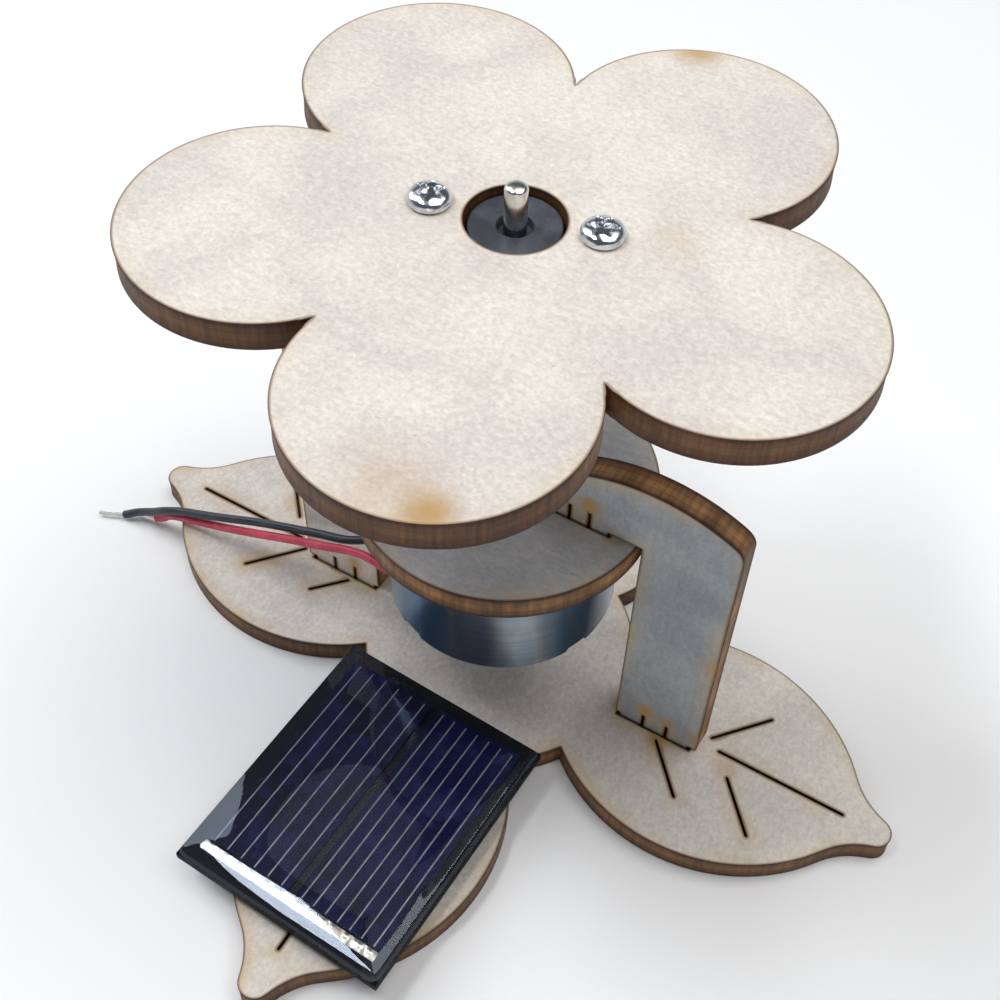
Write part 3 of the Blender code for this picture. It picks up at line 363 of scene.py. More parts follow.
# the corners of a sheet's flat face in its own plane, and the edges round it and its holes, wood on the left
def cutOutline(node, across, up):
    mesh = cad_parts[node].data
    mesh.calc_loop_triangles()
    places, corners = np.empty(len(mesh.vertices) * 3), np.empty(len(mesh.loop_triangles) * 3, int)
    mesh.vertices.foreach_get("co", places)
    mesh.loop_triangles.foreach_get("vertices", corners)
    places, same = np.unique(places.reshape(-1, 3).round(6), axis=0, return_inverse=True)
    triangles = same.reshape(-1)[corners].reshape(-1, 3)
    face = np.cross(across, up)
    normal = np.cross(places[triangles[:, 1]] - places[triangles[:, 0]],
                      places[triangles[:, 2]] - places[triangles[:, 0]])
    triangles = triangles[normal @ face > 0.99 * np.linalg.norm(normal, axis=1)]
    edges = np.vstack((triangles[:, [0, 1]], triangles[:, [1, 2]], triangles[:, [2, 0]]))
    rim = edges[~np.isin(edges @ (len(places), 1), edges @ (1, len(places)))]
    used, rim = np.unique(rim, return_inverse=True)
    levels = places @ face
    return places[used] @ np.stack((across, up), 1), rim.reshape(-1, 2), levels.max(), levels.min()


# each edge gets a middle point, bowed out by a sixteenth of how its neighbours bend away, which keeps
# round stretches round; past a sharp corner it stays straight
def halvedEdges(points, rim, sharpest=28):
    start, end = rim.T
    ahead, back = np.empty(len(points), int), np.empty(len(points), int)
    ahead[start], back[end] = end, start
    step = points[end] - points[start]
    size = np.linalg.norm(step, axis=1, keepdims=True)
    pulls = []
    for near, far, side in ((start, back[start], step), (end, ahead[end], -step)):
        pull = points[near] - points[far]
        reach = np.linalg.norm(pull, axis=1, keepdims=True)
        pull = pull * np.minimum(1.0, size / reach)
        limit = np.cos(np.radians(sharpest)) * np.minimum(size, reach) * size
        bent = (pull * side).sum(1, keepdims=True) < limit
        pulls.append(np.where(bent, side, pull))
    middle = (points[start] + points[end]) / 2 + (pulls[0] + pulls[1]) / 16
    added = len(points) + np.arange(len(rim))
    return np.vstack((points, middle)), np.vstack((np.c_[start, added], np.c_[added, end]))


# for every rim point, the way out of the wood, longer at a corner so that both sides move the same
def wayOut(points, rim):
    step = points[rim[:, 1]] - points[rim[:, 0]]
    right = np.c_[step[:, 1], -step[:, 0]] / np.linalg.norm(step, axis=1, keepdims=True)
    total = np.zeros_like(points)
    np.add.at(total, rim[:, 0], right)
    np.add.at(total, rim[:, 1], right)
    return total / np.maximum((total ** 2).sum(1, keepdims=True) / 2, 0.6)


# the distance from each point to the nearest cut edge, and whether the wood is round it
def cutField(points, rim, corners):
    start, end = corners[rim[:, 0]], corners[rim[:, 1]]
    gaps, inside = [], []
    for some in np.array_split(points, max(1, len(points) // 400)):
        side, gap = end - start, some[:, None] - start
        share = np.clip((gap * side).sum(-1) / (side ** 2).sum(-1), 0, 1)
        gaps.append(np.sqrt(((gap - share[..., None] * side) ** 2).sum(-1)).min(1))
        crossing = (start[:, 1] > some[:, None, 1]) != (end[:, 1] > some[:, None, 1])
        rise = np.where(np.abs(side[:, 1]) < 1e-12, 1e-12, side[:, 1])
        crossing &= gap[..., 0] < side[:, 0] * gap[..., 1] / rise
        inside.append(crossing.sum(1) % 2 == 1)
    return np.concatenate(gaps), np.concatenate(inside)


# a sheet is a wall profile carried round every cut, closed above and below by flat faces
def addSheet(name, node, across, up, finish, body, make):
    points, rim, high, low = cutOutline(node, across, up)
    for _ in range(2):
        points, rim = halvedEdges(points, rim)
    out = wayOut(points, rim)
    gapAcross = cutField(points + out * make["slitProbe"], rim, points)[0]
    slit = np.where(gapAcross < make["slitProbe"] * 0.45, make["slitShift"], 0.0)[:, None]
    arris, thick = make["arris"], high - low
    bend = np.linspace(0, np.pi / 2, 4)
    down = np.linspace(0, 1, 9)
    inset = np.concatenate((arris * (1 - np.sin(bend[:-1])),
                            make["taper"] * (1 - down) + make["hollow"] * np.sin(np.pi * down) ** 2,
                            arris * (1 - np.cos(bend[1:]))))
    depth = np.concatenate((arris * (1 - np.cos(bend[:-1])), arris + (thick - 2 * arris) * down,
                            thick - arris * (1 - np.sin(bend[1:]))))
    inner = points - out * (inset[0] - slit)
    spread = np.arange(-make["reach"], make["reach"], make["grid"]) * mm
    extra = [points - out * ring * mm for ring in make["rings"]]
    extra.append(np.stack(np.meshgrid(spread + points[:, 0].mean(), spread + points[:, 1].mean()),
                          -1).reshape(-1, 2))
    rings = (*make["rings"], make["gridFrom"])
    least = [np.full(len(part), ring * make["slack"] * mm) for part, ring in zip(extra, rings)]
    least = np.concatenate(least)
    extra = np.vstack(extra)
    gap, inside = cutField(extra, rim, points)
    extra, gap = extra[inside & (gap >= least)], gap[inside & (gap >= least)]
    flat = np.vstack((inner, extra))
    drawn = delaunay_2d_cdt([(p * 1000).tolist() for p in flat], rim.tolist(), [], 0, 1e-5, True)
    origin = np.array([first[0] for first in drawn[3]])
    triangles = origin[np.array(drawn[2])]
    triangles = triangles[cutField(flat[triangles].mean(1), rim, inner)[1]]
    rows, count, more = len(inset), len(points), len(extra)
    plane = np.vstack(((points[None] - out[None] * (inset[:, None, None] - slit[None])).reshape(-1, 2),
                       extra, extra))
    level = np.concatenate((np.repeat(high - depth, count), np.full(more, high), np.full(more, low)))
    face = np.cross(across, up)
    corners = plane @ np.stack((across, up)) + level[:, None] * face
    k = np.arange(rows - 1)[:, None] * count
    walls = np.stack((k + rim[:, 0], k + count + rim[:, 0], k + count + rim[:, 1], k + rim[:, 1]),
                     -1).reshape(-1, 4)
    lower = np.where(triangles < count, triangles + (rows - 1) * count,
                     triangles - count + rows * count + more)
    upper = np.where(triangles < count, triangles, triangles - count + rows * count)
    onWall = np.concatenate((np.repeat((np.arange(rows) > 0) & (np.arange(rows) < rows - 1), count),
                             np.zeros(2 * more)))
    values = {"cutDistance": np.concatenate((np.zeros(rows * count), gap / mm, gap / mm)),
              "plyDepth": (high - level) / thick, "onWall": onWall.astype(float)}
    addPiece(name, corners, (walls, upper, lower[:, ::-1]), finish, body, [node],
             make["crease"], values)
    print(name, "cut:", len(walls) * 2 + 2 * len(triangles), "triangles")


flatWays, stemWays = ((1, 0, 0), (0, 1, 0)), ((1, 0, 0), (0, 0, 1))
birch, greyBirch = tone(222, 215, 206), tone(208, 200, 194)
# painted shade: the right stem gets darker, bluer copies of the birch tones
paintedShadeBirch, paintedShadeGrey = tone(164, 166, 166), tone(146, 150, 154)
# painted shade: the motor plate under the flower gets darker copies of the birch tones
plateShadeBirch, plateShadeGrey = tone(186, 184, 183), tone(168, 167, 169)
sheets = {
    "flowerSheet": {
        "node": "flower", "body": "spinner", "ways": flatWays, "grain": (0.7, 1, 1),
        "upright": (1, 1, 0.06),
        "tones": (birch, greyBirch), "halo": 0.35, "wall": 0.9, "evenness": 0.6,
        "marks": (((10.6, -29.6, 65.3), 3.4, 0.95), ((6.6, -29.0, 65.3), 6.5, 0.34),
                  ((2.4, 29.6, 65.3), 3.4, 1.3),
                  ((12.6, 4.1, 65.3), 4.0, 0.34)),
    },
    "baseSheet": {
        "node": "base_board", "body": "stand", "ways": flatWays, "grain": (1, 0.7, 1),
        "upright": (1, 1, 0.06),
        "tones": (birch, greyBirch), "halo": 1.0, "wall": 1.0, "evenness": 0.4,
        "marks": (((29.8, -1.6, 2.8), 2.2, 0.8), ((21.6, -2.2, 2.8), 2.0, 0.8),
                  ((-31.7, 4.6, 2.8), 3.0, 0.5)),
    },
    "plateSheet": {
        "node": "motor_plate", "body": "stand", "ways": flatWays, "grain": (0.4, 1, 1),
        "upright": (1, 1, 0.06),
        # painted shade: darker birch tones on the motor plate
        "tones": (plateShadeBirch, plateShadeGrey), "halo": 0.6, "wall": 1.3, "evenness": 0.1,
        "marks": (((13.0, -1.8, 32.76), 1.6, 0.7),),
    },
    "rightStemSheet": {
        "node": "right_stem", "body": "stand", "ways": stemWays, "grain": (1, 1, 0.35),
        "upright": (1, 0.06, 1),
        # painted shade: darker, bluer birch tones on the right stem
        "tones": (paintedShadeBirch, paintedShadeGrey), "halo": 0.8, "wall": 1.4, "evenness": 0.1,
        "marks": (((10.1, -1.4, 35.8), 1.8, 0.9), ((19.2, -1.4, 5.9), 2.0, 1.0),
                  ((22.0, -1.4, 5.6), 1.6, 0.8),
                  ((25.6, -1.4, 5.0), 2.2, 0.8), ((26.2, -1.4, 19.5), 3.0, 0.6)),
    },
    "leftStemSheet": {
        "node": "left_stem", "body": "stand", "ways": stemWays, "grain": (1, 1, 0.35),
        "upright": (1, 0.06, 1),
        "tones": (birch, greyBirch), "halo": 0.9, "wall": 1.4, "evenness": 0.1,
        "marks": (((-19.2, -1.4, 5.9), 2.0, 0.7), ((-25.6, -1.4, 6.0), 2.4, 0.7)),
    },
}
for name, sheet in sheets.items():
    finish = plywoodFinish(name + " birch", sheet["grain"], sheet["upright"], *sheet["tones"],
                           sheet["marks"],
                           sheet["halo"], sheet["wall"], sheet["evenness"])
    addSheet(name, sheet["node"], *sheet["ways"], finish, sheet["body"], cutEdge)


# every corner of a profile gives way to a short curve that leaves one side and joins the next
def softCorners(corners, radius, closed=True, steps=5):
    p = np.array(corners, float)
    parts = []
    for side in (np.roll(p, 1, 0) - p, np.roll(p, -1, 0) - p):
        size = np.linalg.norm(side, axis=1, keepdims=True)
        parts.append(p + side / size * np.minimum(np.reshape(radius, (-1, 1)), 0.45 * size))
    t = np.linspace(0, 1, steps)[None, :, None]
    curve = (1 - t) ** 2 * parts[0][:, None] + 2 * t * (1 - t) * p[:, None] + t ** 2 * parts[1][:, None]
    return curve.reshape(-1, 2) if closed else np.vstack((p[:1], curve[1:-1].reshape(-1, 2), p[-1:]))


# a surface's first and last row are each drawn to a point by a fan
def closeEnds(corners, steps, first, last):
    j, foot, count = np.arange(steps), len(corners) - steps, len(corners)
    beside = (j + 1) % steps
    fans = (np.stack((np.full(steps, count), j, beside), -1),
            np.stack((np.full(steps, count + 1), foot + beside, foot + j), -1))
    return np.vstack((corners, (first, last))), fans


# a profile of radius and height, top to bottom down its outside, carried round the axis; a closed one
# makes a ring, an open one starts and ends on the axis
def turnedShape(profile, steps, closed):
    angle = 2 * np.pi * np.arange(steps) / steps
    circle = np.stack((np.cos(angle), np.sin(angle)), -1)
    rows = profile if closed else profile[1:-1]
    flat = rows[:, None, :1] * circle
    corners = np.concatenate((flat, np.broadcast_to(rows[:, None, 1:], flat.shape[:2] + (1,))),
                             -1).reshape(-1, 3)
    faces = [gridFaces(len(rows), steps, ringRows=closed)]
    if not closed:
        corners, fans = closeEnds(corners, steps, (0, 0, profile[0, 1]), (0, 0, profile[-1, 1]))
        faces.extend(fans)
    return corners, faces


# ground steel rod and plated screws
brightSteel = platedFinish("bright steel", tone(226, 226, 222), tone(178, 176, 168), (0.12, 0.3), 380,
                           (0.3, 0.3, 1))
screwSteel = platedFinish("screw plating", tone(232, 234, 238), tone(186, 190, 198), (0.08, 0.26), 700)

shaftMake = {"dome": 0.45 * mm, "chamfer": 0.3 * mm, "steps": 64}


# a straight rod with an elliptical dome on top and a chamfer at its foot
def addShaft(make):
    low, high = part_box("motor_shaft")
    radius = (high.x - low.x) / 2
    bend = np.linspace(0, np.pi / 2, 9)[1:]
    top = np.c_[radius * np.sin(bend), high.z - make["dome"] * (1 - np.cos(bend))]
    foot = [(radius, low.z + make["chamfer"]), (radius - make["chamfer"], low.z), (0.0, low.z)]
    corners, faces = turnedShape(np.vstack(((0.0, high.z), top, foot)), make["steps"], False)
    addPiece("shaftRod", corners, faces, brightSteel, "spinner", ["motor_shaft"], 40)


addShaft(shaftMake)

screwMake = {"headHeight": 1.1 * mm, "recess": 1.3 * mm, "deep": 0.55 * mm, "lobe": 0.2,
             "shank": 0.95 * mm, "thread": 0.13 * mm, "pitch": 0.75 * mm, "side": 0.28 * mm,
             "point": 1.3 * mm, "steps": 96, "threadRows": 34, "rim": 1.06}
screws = {
    "flowerScrewLeft": ("flower_screw_left", "spinner", 10),
    "flowerScrewRight": ("flower_screw_right", "spinner", 38),
    "motorScrewFront": ("motor_screw_front", "stand", 0),
    "motorScrewRear": ("motor_screw_rear", "stand", 25),
}


# the head's rows run from the recess's floor up its six-lobed wall and over the dome to the rim, and each
# point's height on the dome follows its own distance from the middle; the shank's rows carry a thread, a
# ridge that climbs as it goes round
def addScrew(name, node, body, turn, make):
    low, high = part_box(node)
    middle, radius = (low + high) / 2, (high.x - low.x) / 2
    seat = high.z - make["headHeight"]
    steps, rim = make["steps"], make["rim"]
    angle = 2 * np.pi * np.arange(steps) / steps
    lobed = make["recess"] * (1 - make["lobe"] + make["lobe"] * np.cos(6 * (angle + np.radians(turn))))
    side, floor = make["side"], high.z - make["deep"]
    share = np.array((0.25, 0.55, 0.8, 0.93, 1.0, rim))[:, None]
    grown = np.linspace(0.1, 1, 10)[:, None]
    hollow, crown = share * lobed, rim * (1 - grown) * lobed + grown * radius
    rise = high.z - seat - side
    dome = [seat + side + rise * np.sqrt(np.clip(1 - (0.98 * part / radius) ** 2.8, 0, 1))
            for part in (hollow, crown)]
    wall = np.array((0.0, 0.02, 0.08, 0.42, 0.85, 0.985))[:, None]
    hollowHeight = floor + (dome[0] - floor) * wall
    shank = np.linspace(seat - 0.25 * mm, low.z + 0.12 * mm, make["threadRows"])[:, None]
    narrow = np.clip((shank - low.z) / make["point"], 0.18, 1)
    climb = (shank / make["pitch"] + angle / (2 * np.pi)) % 1
    ridge = make["thread"] * ((1 - np.abs(2 * climb - 1)) ** 2 - 0.4)
    under = np.array((radius * 0.99, radius * 0.95, make["shank"]))[:, None]
    underHeight = np.array((seat + 0.06 * mm, seat, seat))[:, None]
    flat = np.ones((1, steps))
    reach = np.vstack((hollow, crown, under * flat, (make["shank"] + ridge) * narrow))
    height = np.vstack((hollowHeight, dome[1], underHeight * flat, shank * flat))
    corners = np.stack((middle.x + reach * np.cos(angle), middle.y + reach * np.sin(angle), height),
                       -1).reshape(-1, 3)
    corners, fans = closeEnds(corners, steps, (middle.x, middle.y, floor), (middle.x, middle.y, low.z))
    faces = (gridFaces(len(height), steps), *fans)
    addPiece(name, corners, faces, screwSteel, body, [node], 32)


for name, (node, body, turn) in screws.items():
    addScrew(name, node, body, turn, screwMake)
print("shaft and screws made")


# dark moulded plastic, with a fine sparkle, rubbed patches and a little pale dust
def mouldedFinish(name, colour, rubbed, dust=0.2):
    finish, tree, shader = newFinish(name)
    place = objectPlace(tree)
    patches = speckle(tree, place, 260, 5, 0.65)
    colours = mixTone(tree, ease(tree, patches, 0.4, 0.72), colour, rubbed)
    grains = ease(tree, speckle(tree, place, 1700, 2), 0.66, 0.76, 0.0, dust)
    drive(tree, shader, colour=mixTone(tree, grains, colours, tone(150, 152, 156)),
          rough=ease(tree, patches, 0.3, 0.7, 0.4, 0.56))
    relief(tree, shader, speckle(tree, place, 3400, 3), 0.000012, 0.5)
    return finish


blackPlastic = mouldedFinish("black plastic", tone(52, 56, 64), tone(76, 80, 90))
hubMake = {"boss": 4.0 * mm, "recess": 1.55 * mm, "recessDepth": 1.0 * mm, "flange": 2.4 * mm,
           "neck": 3.3 * mm, "flare": 3.0 * mm, "bore": 1.04 * mm, "soft": 0.22 * mm, "steps": 128}


# a dished boss, a flange under it and a neck that flares into the flange, carried round
def addHub(make):
    low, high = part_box("flower_hub")
    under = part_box("flower")[0].z - 0.2 * mm
    outer, base = (high.x - low.x) / 2, under - make["flange"]
    dip = high.z - make["recessDepth"]
    profile = softCorners((
        (make["bore"], dip), (make["recess"], dip), (make["recess"], high.z), (make["boss"], high.z),
        (make["boss"], under), (outer, under), (outer, base), (make["neck"] + make["flare"], base),
        (make["neck"], base - make["flare"]), (make["neck"], low.z), (make["bore"], low.z)),
        make["soft"] * np.array((0.1, 0.4, 0.8, 1, 1, 1, 2, 4, 4, 1, 0.5)))
    corners, faces = turnedShape(profile, make["steps"], True)
    addPiece("hubMoulding", corners, faces, blackPlastic, "spinner", ["flower_hub"], 50)


addHub(hubMake)
print("hub made")


# drawn and zinc-plated steel cup: the plating's cool blue cast, laid out in soft upright blue and pale zones
# that are painted reflections; fine drawing lines round it
def canFinish(name):
    finish, tree, shader = newFinish(name)
    shader.inputs["Metallic"].default_value = 1.0
    # painted reflection: upright blue and pale zones over the plating's blue cast
    tintAndReflectionZones = speckle(tree, objectPlace(tree, (1, 1, 0.1)), 110, 2, 0.45)
    lines = speckle(tree, objectPlace(tree, (0.02, 0.02, 1)), 2600, 2, 0.5)
    spots = speckle(tree, objectPlace(tree), 520, 6, 0.7)
    colours = toneSteps(tree, tintAndReflectionZones, ((0.3, tone(60, 104, 140)), (0.46, tone(96, 128, 152)),
                                      (0.56, tone(160, 168, 172)), (0.7, tone(58, 98, 134))))
    colours = mixTone(tree, ease(tree, spots, 0.4, 0.8, 0.0, 0.22), colours, tone(112, 120, 126))
    drive(tree, shader,
          colour=mixTone(tree, ease(tree, lines, 0.4, 0.8, 0.0, 0.25), colours, tone(70, 84, 96)),
          rough=ease(tree, spots, 0.2, 0.8, 0.27, 0.34))
    relief(tree, shader, lines, 0.000002, 0.2)
    return finish


canMake = {"wall": 0.8 * mm, "boss": 3.0 * mm, "bossHeight": 1.5 * mm, "bore": 2.02 * mm,
           "notches": 4, "firstNotch": 70, "notchWidth": 2.4 * mm, "notchDepth": 0.5 * mm,
           "notchSoft": 0.12 * mm, "rimHeight": 0.4 * mm, "steps": 288}


# the cup's profile carried round, its rim lifted in each crimp notch
def addCan(make):
    low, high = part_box("motor_can")
    radius, top = high.x, high.z - make["bossHeight"]
    inner, ceiling = radius - make["wall"], top - make["wall"]
    profile = softCorners((
        (make["bore"], high.z), (make["boss"], high.z), (make["boss"], top), (radius, top),
        (radius, low.z),
        (inner, low.z), (inner, ceiling), (make["bore"], ceiling)),
        mm * np.array((0.15, 0.3, 0.4, 0.9, 0.18, 0.18, 0.4, 0.1)), steps=7)
    corners, faces = turnedShape(profile, make["steps"], True)
    angle = np.arctan2(corners[:, 1], corners[:, 0])
    apart, soft = 2 * np.pi / make["notches"], make["notchSoft"]
    swing = np.abs((angle - np.radians(make["firstNotch"]) + apart / 2) % apart - apart / 2) * radius
    edge = np.clip((make["notchWidth"] / 2 + soft - swing) / (2 * soft), 0, 1)
    nearRim = corners[:, 2] < low.z + make["rimHeight"]
    corners[:, 2] += np.where(nearRim, edge * make["notchDepth"], 0.0)
    addPiece("canCup", corners, faces, canFinish("zinc can"), "stand", ["motor_can"], 40)


addCan(canMake)
print("can made")

# the solar panel, in its own turned frame
panelMake = {"middle": (-1.05, -26.1), "turn": -2.2, "width": 25.0, "length": 30.0, "cellWidth": 10.4,
             "cellLength": 25.4, "cellGap": 0.9, "cellShift": 0.7, "fingers": (6, 7), "fingerWidth": 0.16,
             "busWidth": 1.0, "corner": 1.0, "edge": 0.8, "dome": 0.62, "domeReach": 4.4,
             "fingerRows": 60, "fingerSides": 5}


# a point of the panel is turned about the panel's middle and moved to it
def panelPlace(x, y, z):
    angle = np.radians(panelMake["turn"])
    x, y, z = np.broadcast_arrays(x, y, z)
    placed = (panelMake["middle"][0] + x * np.cos(angle) - y * np.sin(angle),
              panelMake["middle"][1] + x * np.sin(angle) + y * np.cos(angle))
    return np.stack((placed[0] * mm, placed[1] * mm, z), -1).reshape(-1, 3)


# two grids of points, one over the other, closed all round
def closedSlab(upper, lower, rows, columns):
    over = gridFaces(rows, columns, ringColumns=False)[:, ::-1]
    rim = np.concatenate((np.arange(columns), np.arange(1, rows) * columns + columns - 1,
                          (rows - 1) * columns + np.arange(columns - 2, -1, -1),
                          np.arange(rows - 2, 0, -1) * columns))
    beside, count = np.roll(rim, -1), rows * columns
    sides = np.stack((rim, rim + count, beside + count, beside), -1)
    return np.vstack((upper, lower)), (over, over[:, ::-1] + count, sides)


# a slab over a grid: its top is a height at each grid point, its foot is flat
def slabShape(x, y, top, foot):
    y2, x2 = np.meshgrid(y, x, indexing="ij")
    return closedSlab(panelPlace(x2, y2, top), panelPlace(x2, y2, np.full(top.shape, foot)), *top.shape)


# near-black silicon with a blue cast, fine crystal flecks and a faint cross-hatch
def cellFinish():
    finish, tree, shader = newFinish("silicon")
    grains = addNode(tree, "TexVoronoi", {"Vector": objectPlace(tree), "Scale": 900.0}).outputs["Color"]
    grey = addNode(tree, "SeparateColor", {0: grains}).outputs[0]
    clouds = speckle(tree, objectPlace(tree), 120, 4)
    colours = mixTone(tree, ease(tree, clouds, 0.3, 0.7), tone(4, 6, 28), tone(8, 13, 54))
    colours = mixTone(tree, ease(tree, grey, 0.5, 1.0, 0.0, 0.25), colours, tone(24, 34, 96))
    drive(tree, shader, colour=colours, rough=ease(tree, grey, 0.0, 1.0, 0.3, 0.42))
    shader.inputs["Specular IOR Level"].default_value = 0.12
    return finish


# clear resin: a thin mirror that lets nearly all the light through, faintly smeared
def clearResinFinish():
    finish, tree, shader = newFinish("clear resin")
    shader.inputs["Metallic"].default_value = 1.0
    shader.inputs["Alpha"].default_value = 0.042
    smears = speckle(tree, objectPlace(tree), 150, 4)
    drive(tree, shader, colour=mixTone(tree, smears, tone(236, 244, 255), tone(206, 222, 248)),
          rough=ease(tree, smears, 0.45, 0.8, 0.02, 0.08))
    relief(tree, shader, speckle(tree, objectPlace(tree), 90, 1), 0.00003, 0.2)
    return finish


# a rounded rectangle's points: each corner is an arc about its own middle
def softRectangle(halfWidth, halfLength, corner, steps=8):
    angle = np.linspace(0, np.pi / 2, steps)[None] + np.pi / 2 * np.arange(4)[:, None]
    signs = np.array(((1, 1), (-1, 1), (-1, -1), (1, -1)))
    x = signs[:, :1] * (halfWidth - corner) + corner * np.cos(angle)
    y = signs[:, 1:] * (halfLength - corner) + corner * np.sin(angle)
    return x.ravel(), y.ravel()


# the resin is rings of rounded rectangles: over the dome, round the edge, down the side and under;
# it is cast round the cells, so they lie inside it
def addResin(make):
    low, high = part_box("resin_cover")
    bend = np.linspace(0.28, np.pi / 2, 10)
    edge, reach = make["edge"], make["domeReach"]
    inner = np.concatenate(((9.0, 7.0), np.linspace(reach, edge * (1 - np.sin(bend[0])), 16)))
    dome = high.z - make["dome"] * mm * np.clip(1 - inner / reach, 0, 1) ** 2
    shoulder = dome[-1] - edge * mm * (np.cos(bend[0]) - np.cos(bend[1:]))
    rings = [(i, z) for i, z in zip(inner, dome)]
    rings += [(edge * (1 - np.sin(b)), z) for b, z in zip(bend[1:], shoulder)]
    rings += [(0.0, low.z + 0.1 * mm), (0.1, low.z), (9.0, low.z)]
    corners, width, length = [], make["width"] / 2, make["length"] / 2
    for inset, z in rings:
        x, y = softRectangle(width - inset, length - inset, max(make["corner"] - inset, 0.08))
        corners.append(panelPlace(x, y, np.full(len(x), z)))
    count = len(corners[0])
    last = (len(rings) - 1) * count
    faces = (gridFaces(len(rings), count), [range(count)], [range(last + count - 1, last - 1, -1)])
    addPiece("resinCover", np.vstack(corners), faces, clearResinFinish(), "stand", ["resin_cover"],
             40)


addResin(panelMake)


# each cell's fingers are thin raised lines; the strip is a bar with a solder bump where each finger ends
def addCellMetal(make):
    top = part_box("solar_cell_left")[1].z
    half = make["cellLength"] / 2
    spots = []
    for side, count in zip((-1, 1), make["fingers"]):
        middle = side * (make["cellWidth"] + make["cellGap"]) / 2
        spread = make["cellWidth"] / count
        spots.extend(middle + spread * (np.arange(count) - (count - 1) / 2))
    corners, faces, used = [], [], 0
    rows, sides = make["fingerRows"], make["fingerSides"]
    ridge = top + 0.012 * mm + 0.035 * mm * np.cos(np.linspace(-1.3, 1.3, sides))
    ridge = np.broadcast_to(ridge, (rows, sides))
    for x in spots:
        across = x + make["fingerWidth"] * np.linspace(-0.5, 0.5, sides)
        run = make["cellShift"] + np.linspace(-half + 0.05, half - 0.4, rows)
        points, parts = slabShape(across, run, ridge, top + 0.004 * mm)
        corners.append(points)
        faces += [part + used for part in parts]
        used += len(points)
    addPiece("cellFingers", np.vstack(corners), faces, fingerMetal, "stand", (), 60)
    low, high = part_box("collector_strip")
    reach = make["cellWidth"] + make["cellGap"] / 2
    y0 = make["cellShift"] - half - 0.2 - make["busWidth"] / 2
    x, y = np.linspace(-reach, reach, 360), y0 + np.linspace(-0.5, 0.5, 14) * make["busWidth"]
    y2, x2 = np.meshgrid(y, x, indexing="ij")
    bumps = np.exp(-(((x2[..., None] - spots) / 0.42) ** 2
                     + ((y2[..., None] - y0 - 0.15) / 0.34) ** 2)).max(-1)
    sag = 0.02 * mm * np.cos(7 * x2) * np.cos(5 * y2)
    points, parts = slabShape(x, y, high.z - 0.06 * mm + 0.13 * mm * bumps + sag, low.z)
    addPiece("collectorBar", points, parts, tinned, "stand", ["collector_strip"], 60)


fingerMetal = platedFinish("printed silver", tone(124, 126, 134), tone(100, 102, 112), (0.35, 0.5), 900)
addCellMetal(panelMake)
print("panel made")


# thin rolled or sintered metals, dark ferrite, foam and board for the pieces that keep their own shape
def grainFinish(name, colours, scale, stretch, rough, metal=0.0, depth=0.00002):
    finish, tree, shader = newFinish(name)
    shader.inputs["Metallic"].default_value = metal
    grains = speckle(tree, objectPlace(tree, stretch), scale, 5, 0.65)
    drive(tree, shader, colour=mixTone(tree, ease(tree, grains, 0.32, 0.7), *colours),
          rough=ease(tree, grains, 0.3, 0.7, *rough))
    relief(tree, shader, grains, depth, 0.6)
    return finish


# enamelled wire laid side by side: fine ridges round each coil
def windingFinish():
    finish, tree, shader = newFinish("enamelled wire")
    shader.inputs["Metallic"].default_value = 0.8
    ridges = addNode(tree, "TexWave",
                     {"Vector": objectPlace(tree), "Scale": 1300.0, "Distortion": 1.2,
                                       "Detail": 2.0}, bands_direction="DIAGONAL").outputs["Fac"]
    drive(tree, shader, colour=mixTone(tree, ridges, tone(112, 46, 20), tone(206, 112, 62)))
    shader.inputs["Roughness"].default_value = 0.32
    relief(tree, shader, ridges, 0.00005, 0.8)
    return finish


carried = {
    "panel_board": grainFinish("laminate", (tone(5, 6, 10), tone(11, 13, 18)), 700, (1, 1, 0.2),
                               (0.5, 0.65)),
    "mounting_tape": grainFinish("foam", (tone(224, 222, 216), tone(200, 198, 192)), 1800, (1, 1, 1),
                                 (0.8, 0.95), 0, 0.00006),
    "motor_end_cap": blackPlastic,
    "lower_bearing": grainFinish("bronze", (tone(150, 116, 72), tone(116, 86, 52)), 1500, (1, 1, 1),
                                 (0.4, 0.6), 1),
    "rotor_core": grainFinish("lamination", (tone(96, 98, 104), tone(58, 60, 66)), 900, (0.05, 0.05, 3),
                              (0.35, 0.6), 1),
    "magnet_left": grainFinish("ferrite", (tone(54, 54, 58), tone(34, 34, 38)), 1300, (1, 1, 1),
                               (0.6, 0.8)),
    "commutator": grainFinish("brass", (tone(196, 156, 82), tone(150, 112, 54)), 1100, (1, 1, 0.1),
                              (0.25, 0.45), 1),
}
carried["panel_board"].node_tree.nodes["Principled BSDF"].inputs["Specular IOR Level"].default_value = 0.08
carried["solar_cell_left"] = carried["solar_cell_right"] = cellFinish()
carried["upper_bearing"], carried["magnet_right"] = carried["lower_bearing"], carried["magnet_left"]
carried["positive_brush"] = carried["negative_brush"] = carried["commutator"]
for letter in "abc":
    carried["rotor_coil_" + letter] = windingFinish()
for name in ("positive_terminal", "negative_terminal", "positive_joint", "negative_joint",
             "panel_pad_minus", "panel_pad_plus"):
    carried[name] = tinned
for name, finish in carried.items():
    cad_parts[name].data.materials.clear()
    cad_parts[name].data.materials.append(finish)
print("carried-over pieces finished")

# studio: a pale floor and room, a large soft light above, two to the left and a weak one in front
studio = {"floor": tone(246, 246, 246), "floorMottle": tone(241, 241, 242), "size": 1.6,
          "wall": tone(226, 228, 232), "ceiling": tone(80, 84, 90), "wallTop": 0.12, "ceilingStart": 0.5}


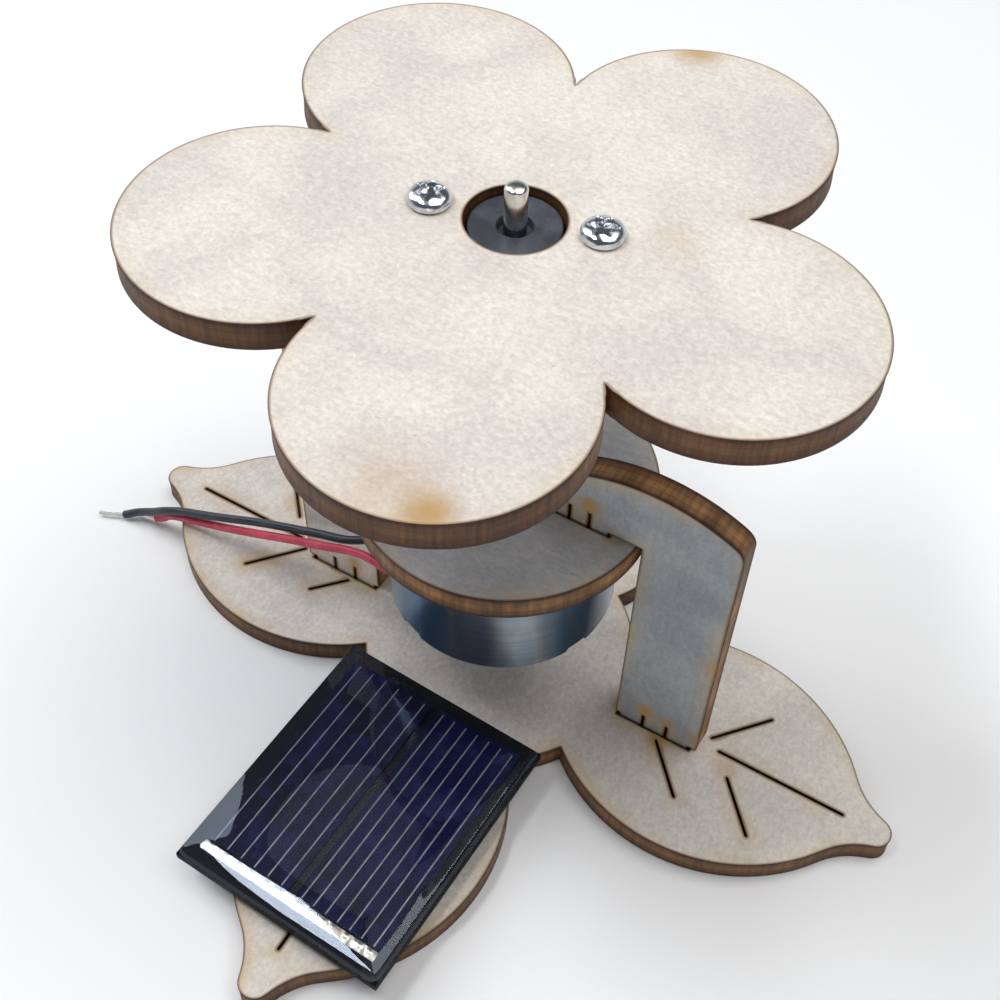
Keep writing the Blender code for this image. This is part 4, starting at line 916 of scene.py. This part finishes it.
# a flat square just under the lowest piece
def addFloor(make):
    finish, tree, shader = newFinish("studio floor")
    drive(tree, shader,
          colour=mixTone(tree, speckle(tree, objectPlace(tree), 3), make["floor"], make["floorMottle"]))
    shader.inputs["Roughness"].default_value = 0.85
    mesh = bpy.data.meshes.new("studioFloor")
    size, low = make["size"], min(0.0, cadBox[0].z) - 0.00005
    mesh.from_pydata([(-size, -size, low), (size, -size, low), (size, size, low), (-size, size, low)],
                     [], [(0, 1, 2, 3)])
    mesh.materials.append(finish)
    floor = bpy.data.objects.new("studioFloor", mesh)
    bpy.context.scene.collection.objects.link(floor)


# an area light that faces its target
def addLight(name, place, target, size, power, colour):
    light = bpy.data.lights.new(name, "AREA")
    light.shape, light.size, light.size_y = "RECTANGLE", *size
    light.energy, light.color = power, colour
    lamp = bpy.data.objects.new(name, light)
    bpy.context.scene.collection.objects.link(lamp)
    lamp.location = place
    ray = Vector(target) - lamp.location
    lamp.rotation_euler = ray.to_track_quat("-Z", "Y").to_euler()


# pale walls that fade to a dim ceiling
def addRoom(make):
    world = bpy.data.worlds.new("soft room")
    world.use_nodes = True
    tree = world.node_tree
    direction = addNode(tree, "TexCoord", {}).outputs["Generated"]
    height = addNode(tree, "SeparateXYZ", {0: direction}).outputs[2]
    glow = mixTone(tree, ease(tree, height, make["wallTop"], make["ceilingStart"]), make["wall"],
                   make["ceiling"])
    tree.links.new(glow, tree.nodes["Background"].inputs["Color"])
    bpy.context.scene.world = world


addFloor(studio)
addRoom(studio)
addLight("overhead", (0.16, 0.12, 0.62), (0, 0, 0.03), (0.50, 0.45), 2.5, (1.0, 0.985, 0.96))
addLight("overheadLeft", (-0.50, 0.04, 0.48), (0, -0.02, 0), (0.30, 0.50), 1.9, (0.95, 0.975, 1.0))
addLight("windowLeft", (-0.165, -0.09, 0.50), (0, -0.026, 0.006), (0.17, 0.08), 0.75, (0.96, 0.98, 1.0))
addLight("frontFill", (0.28, -0.46, 0.20), (0, -0.01, 0.02), (0.30, 0.24), 0.25, (0.90, 0.95, 1.0))
bpy.context.scene.view_settings.view_transform = "Standard"
print("studio lit")
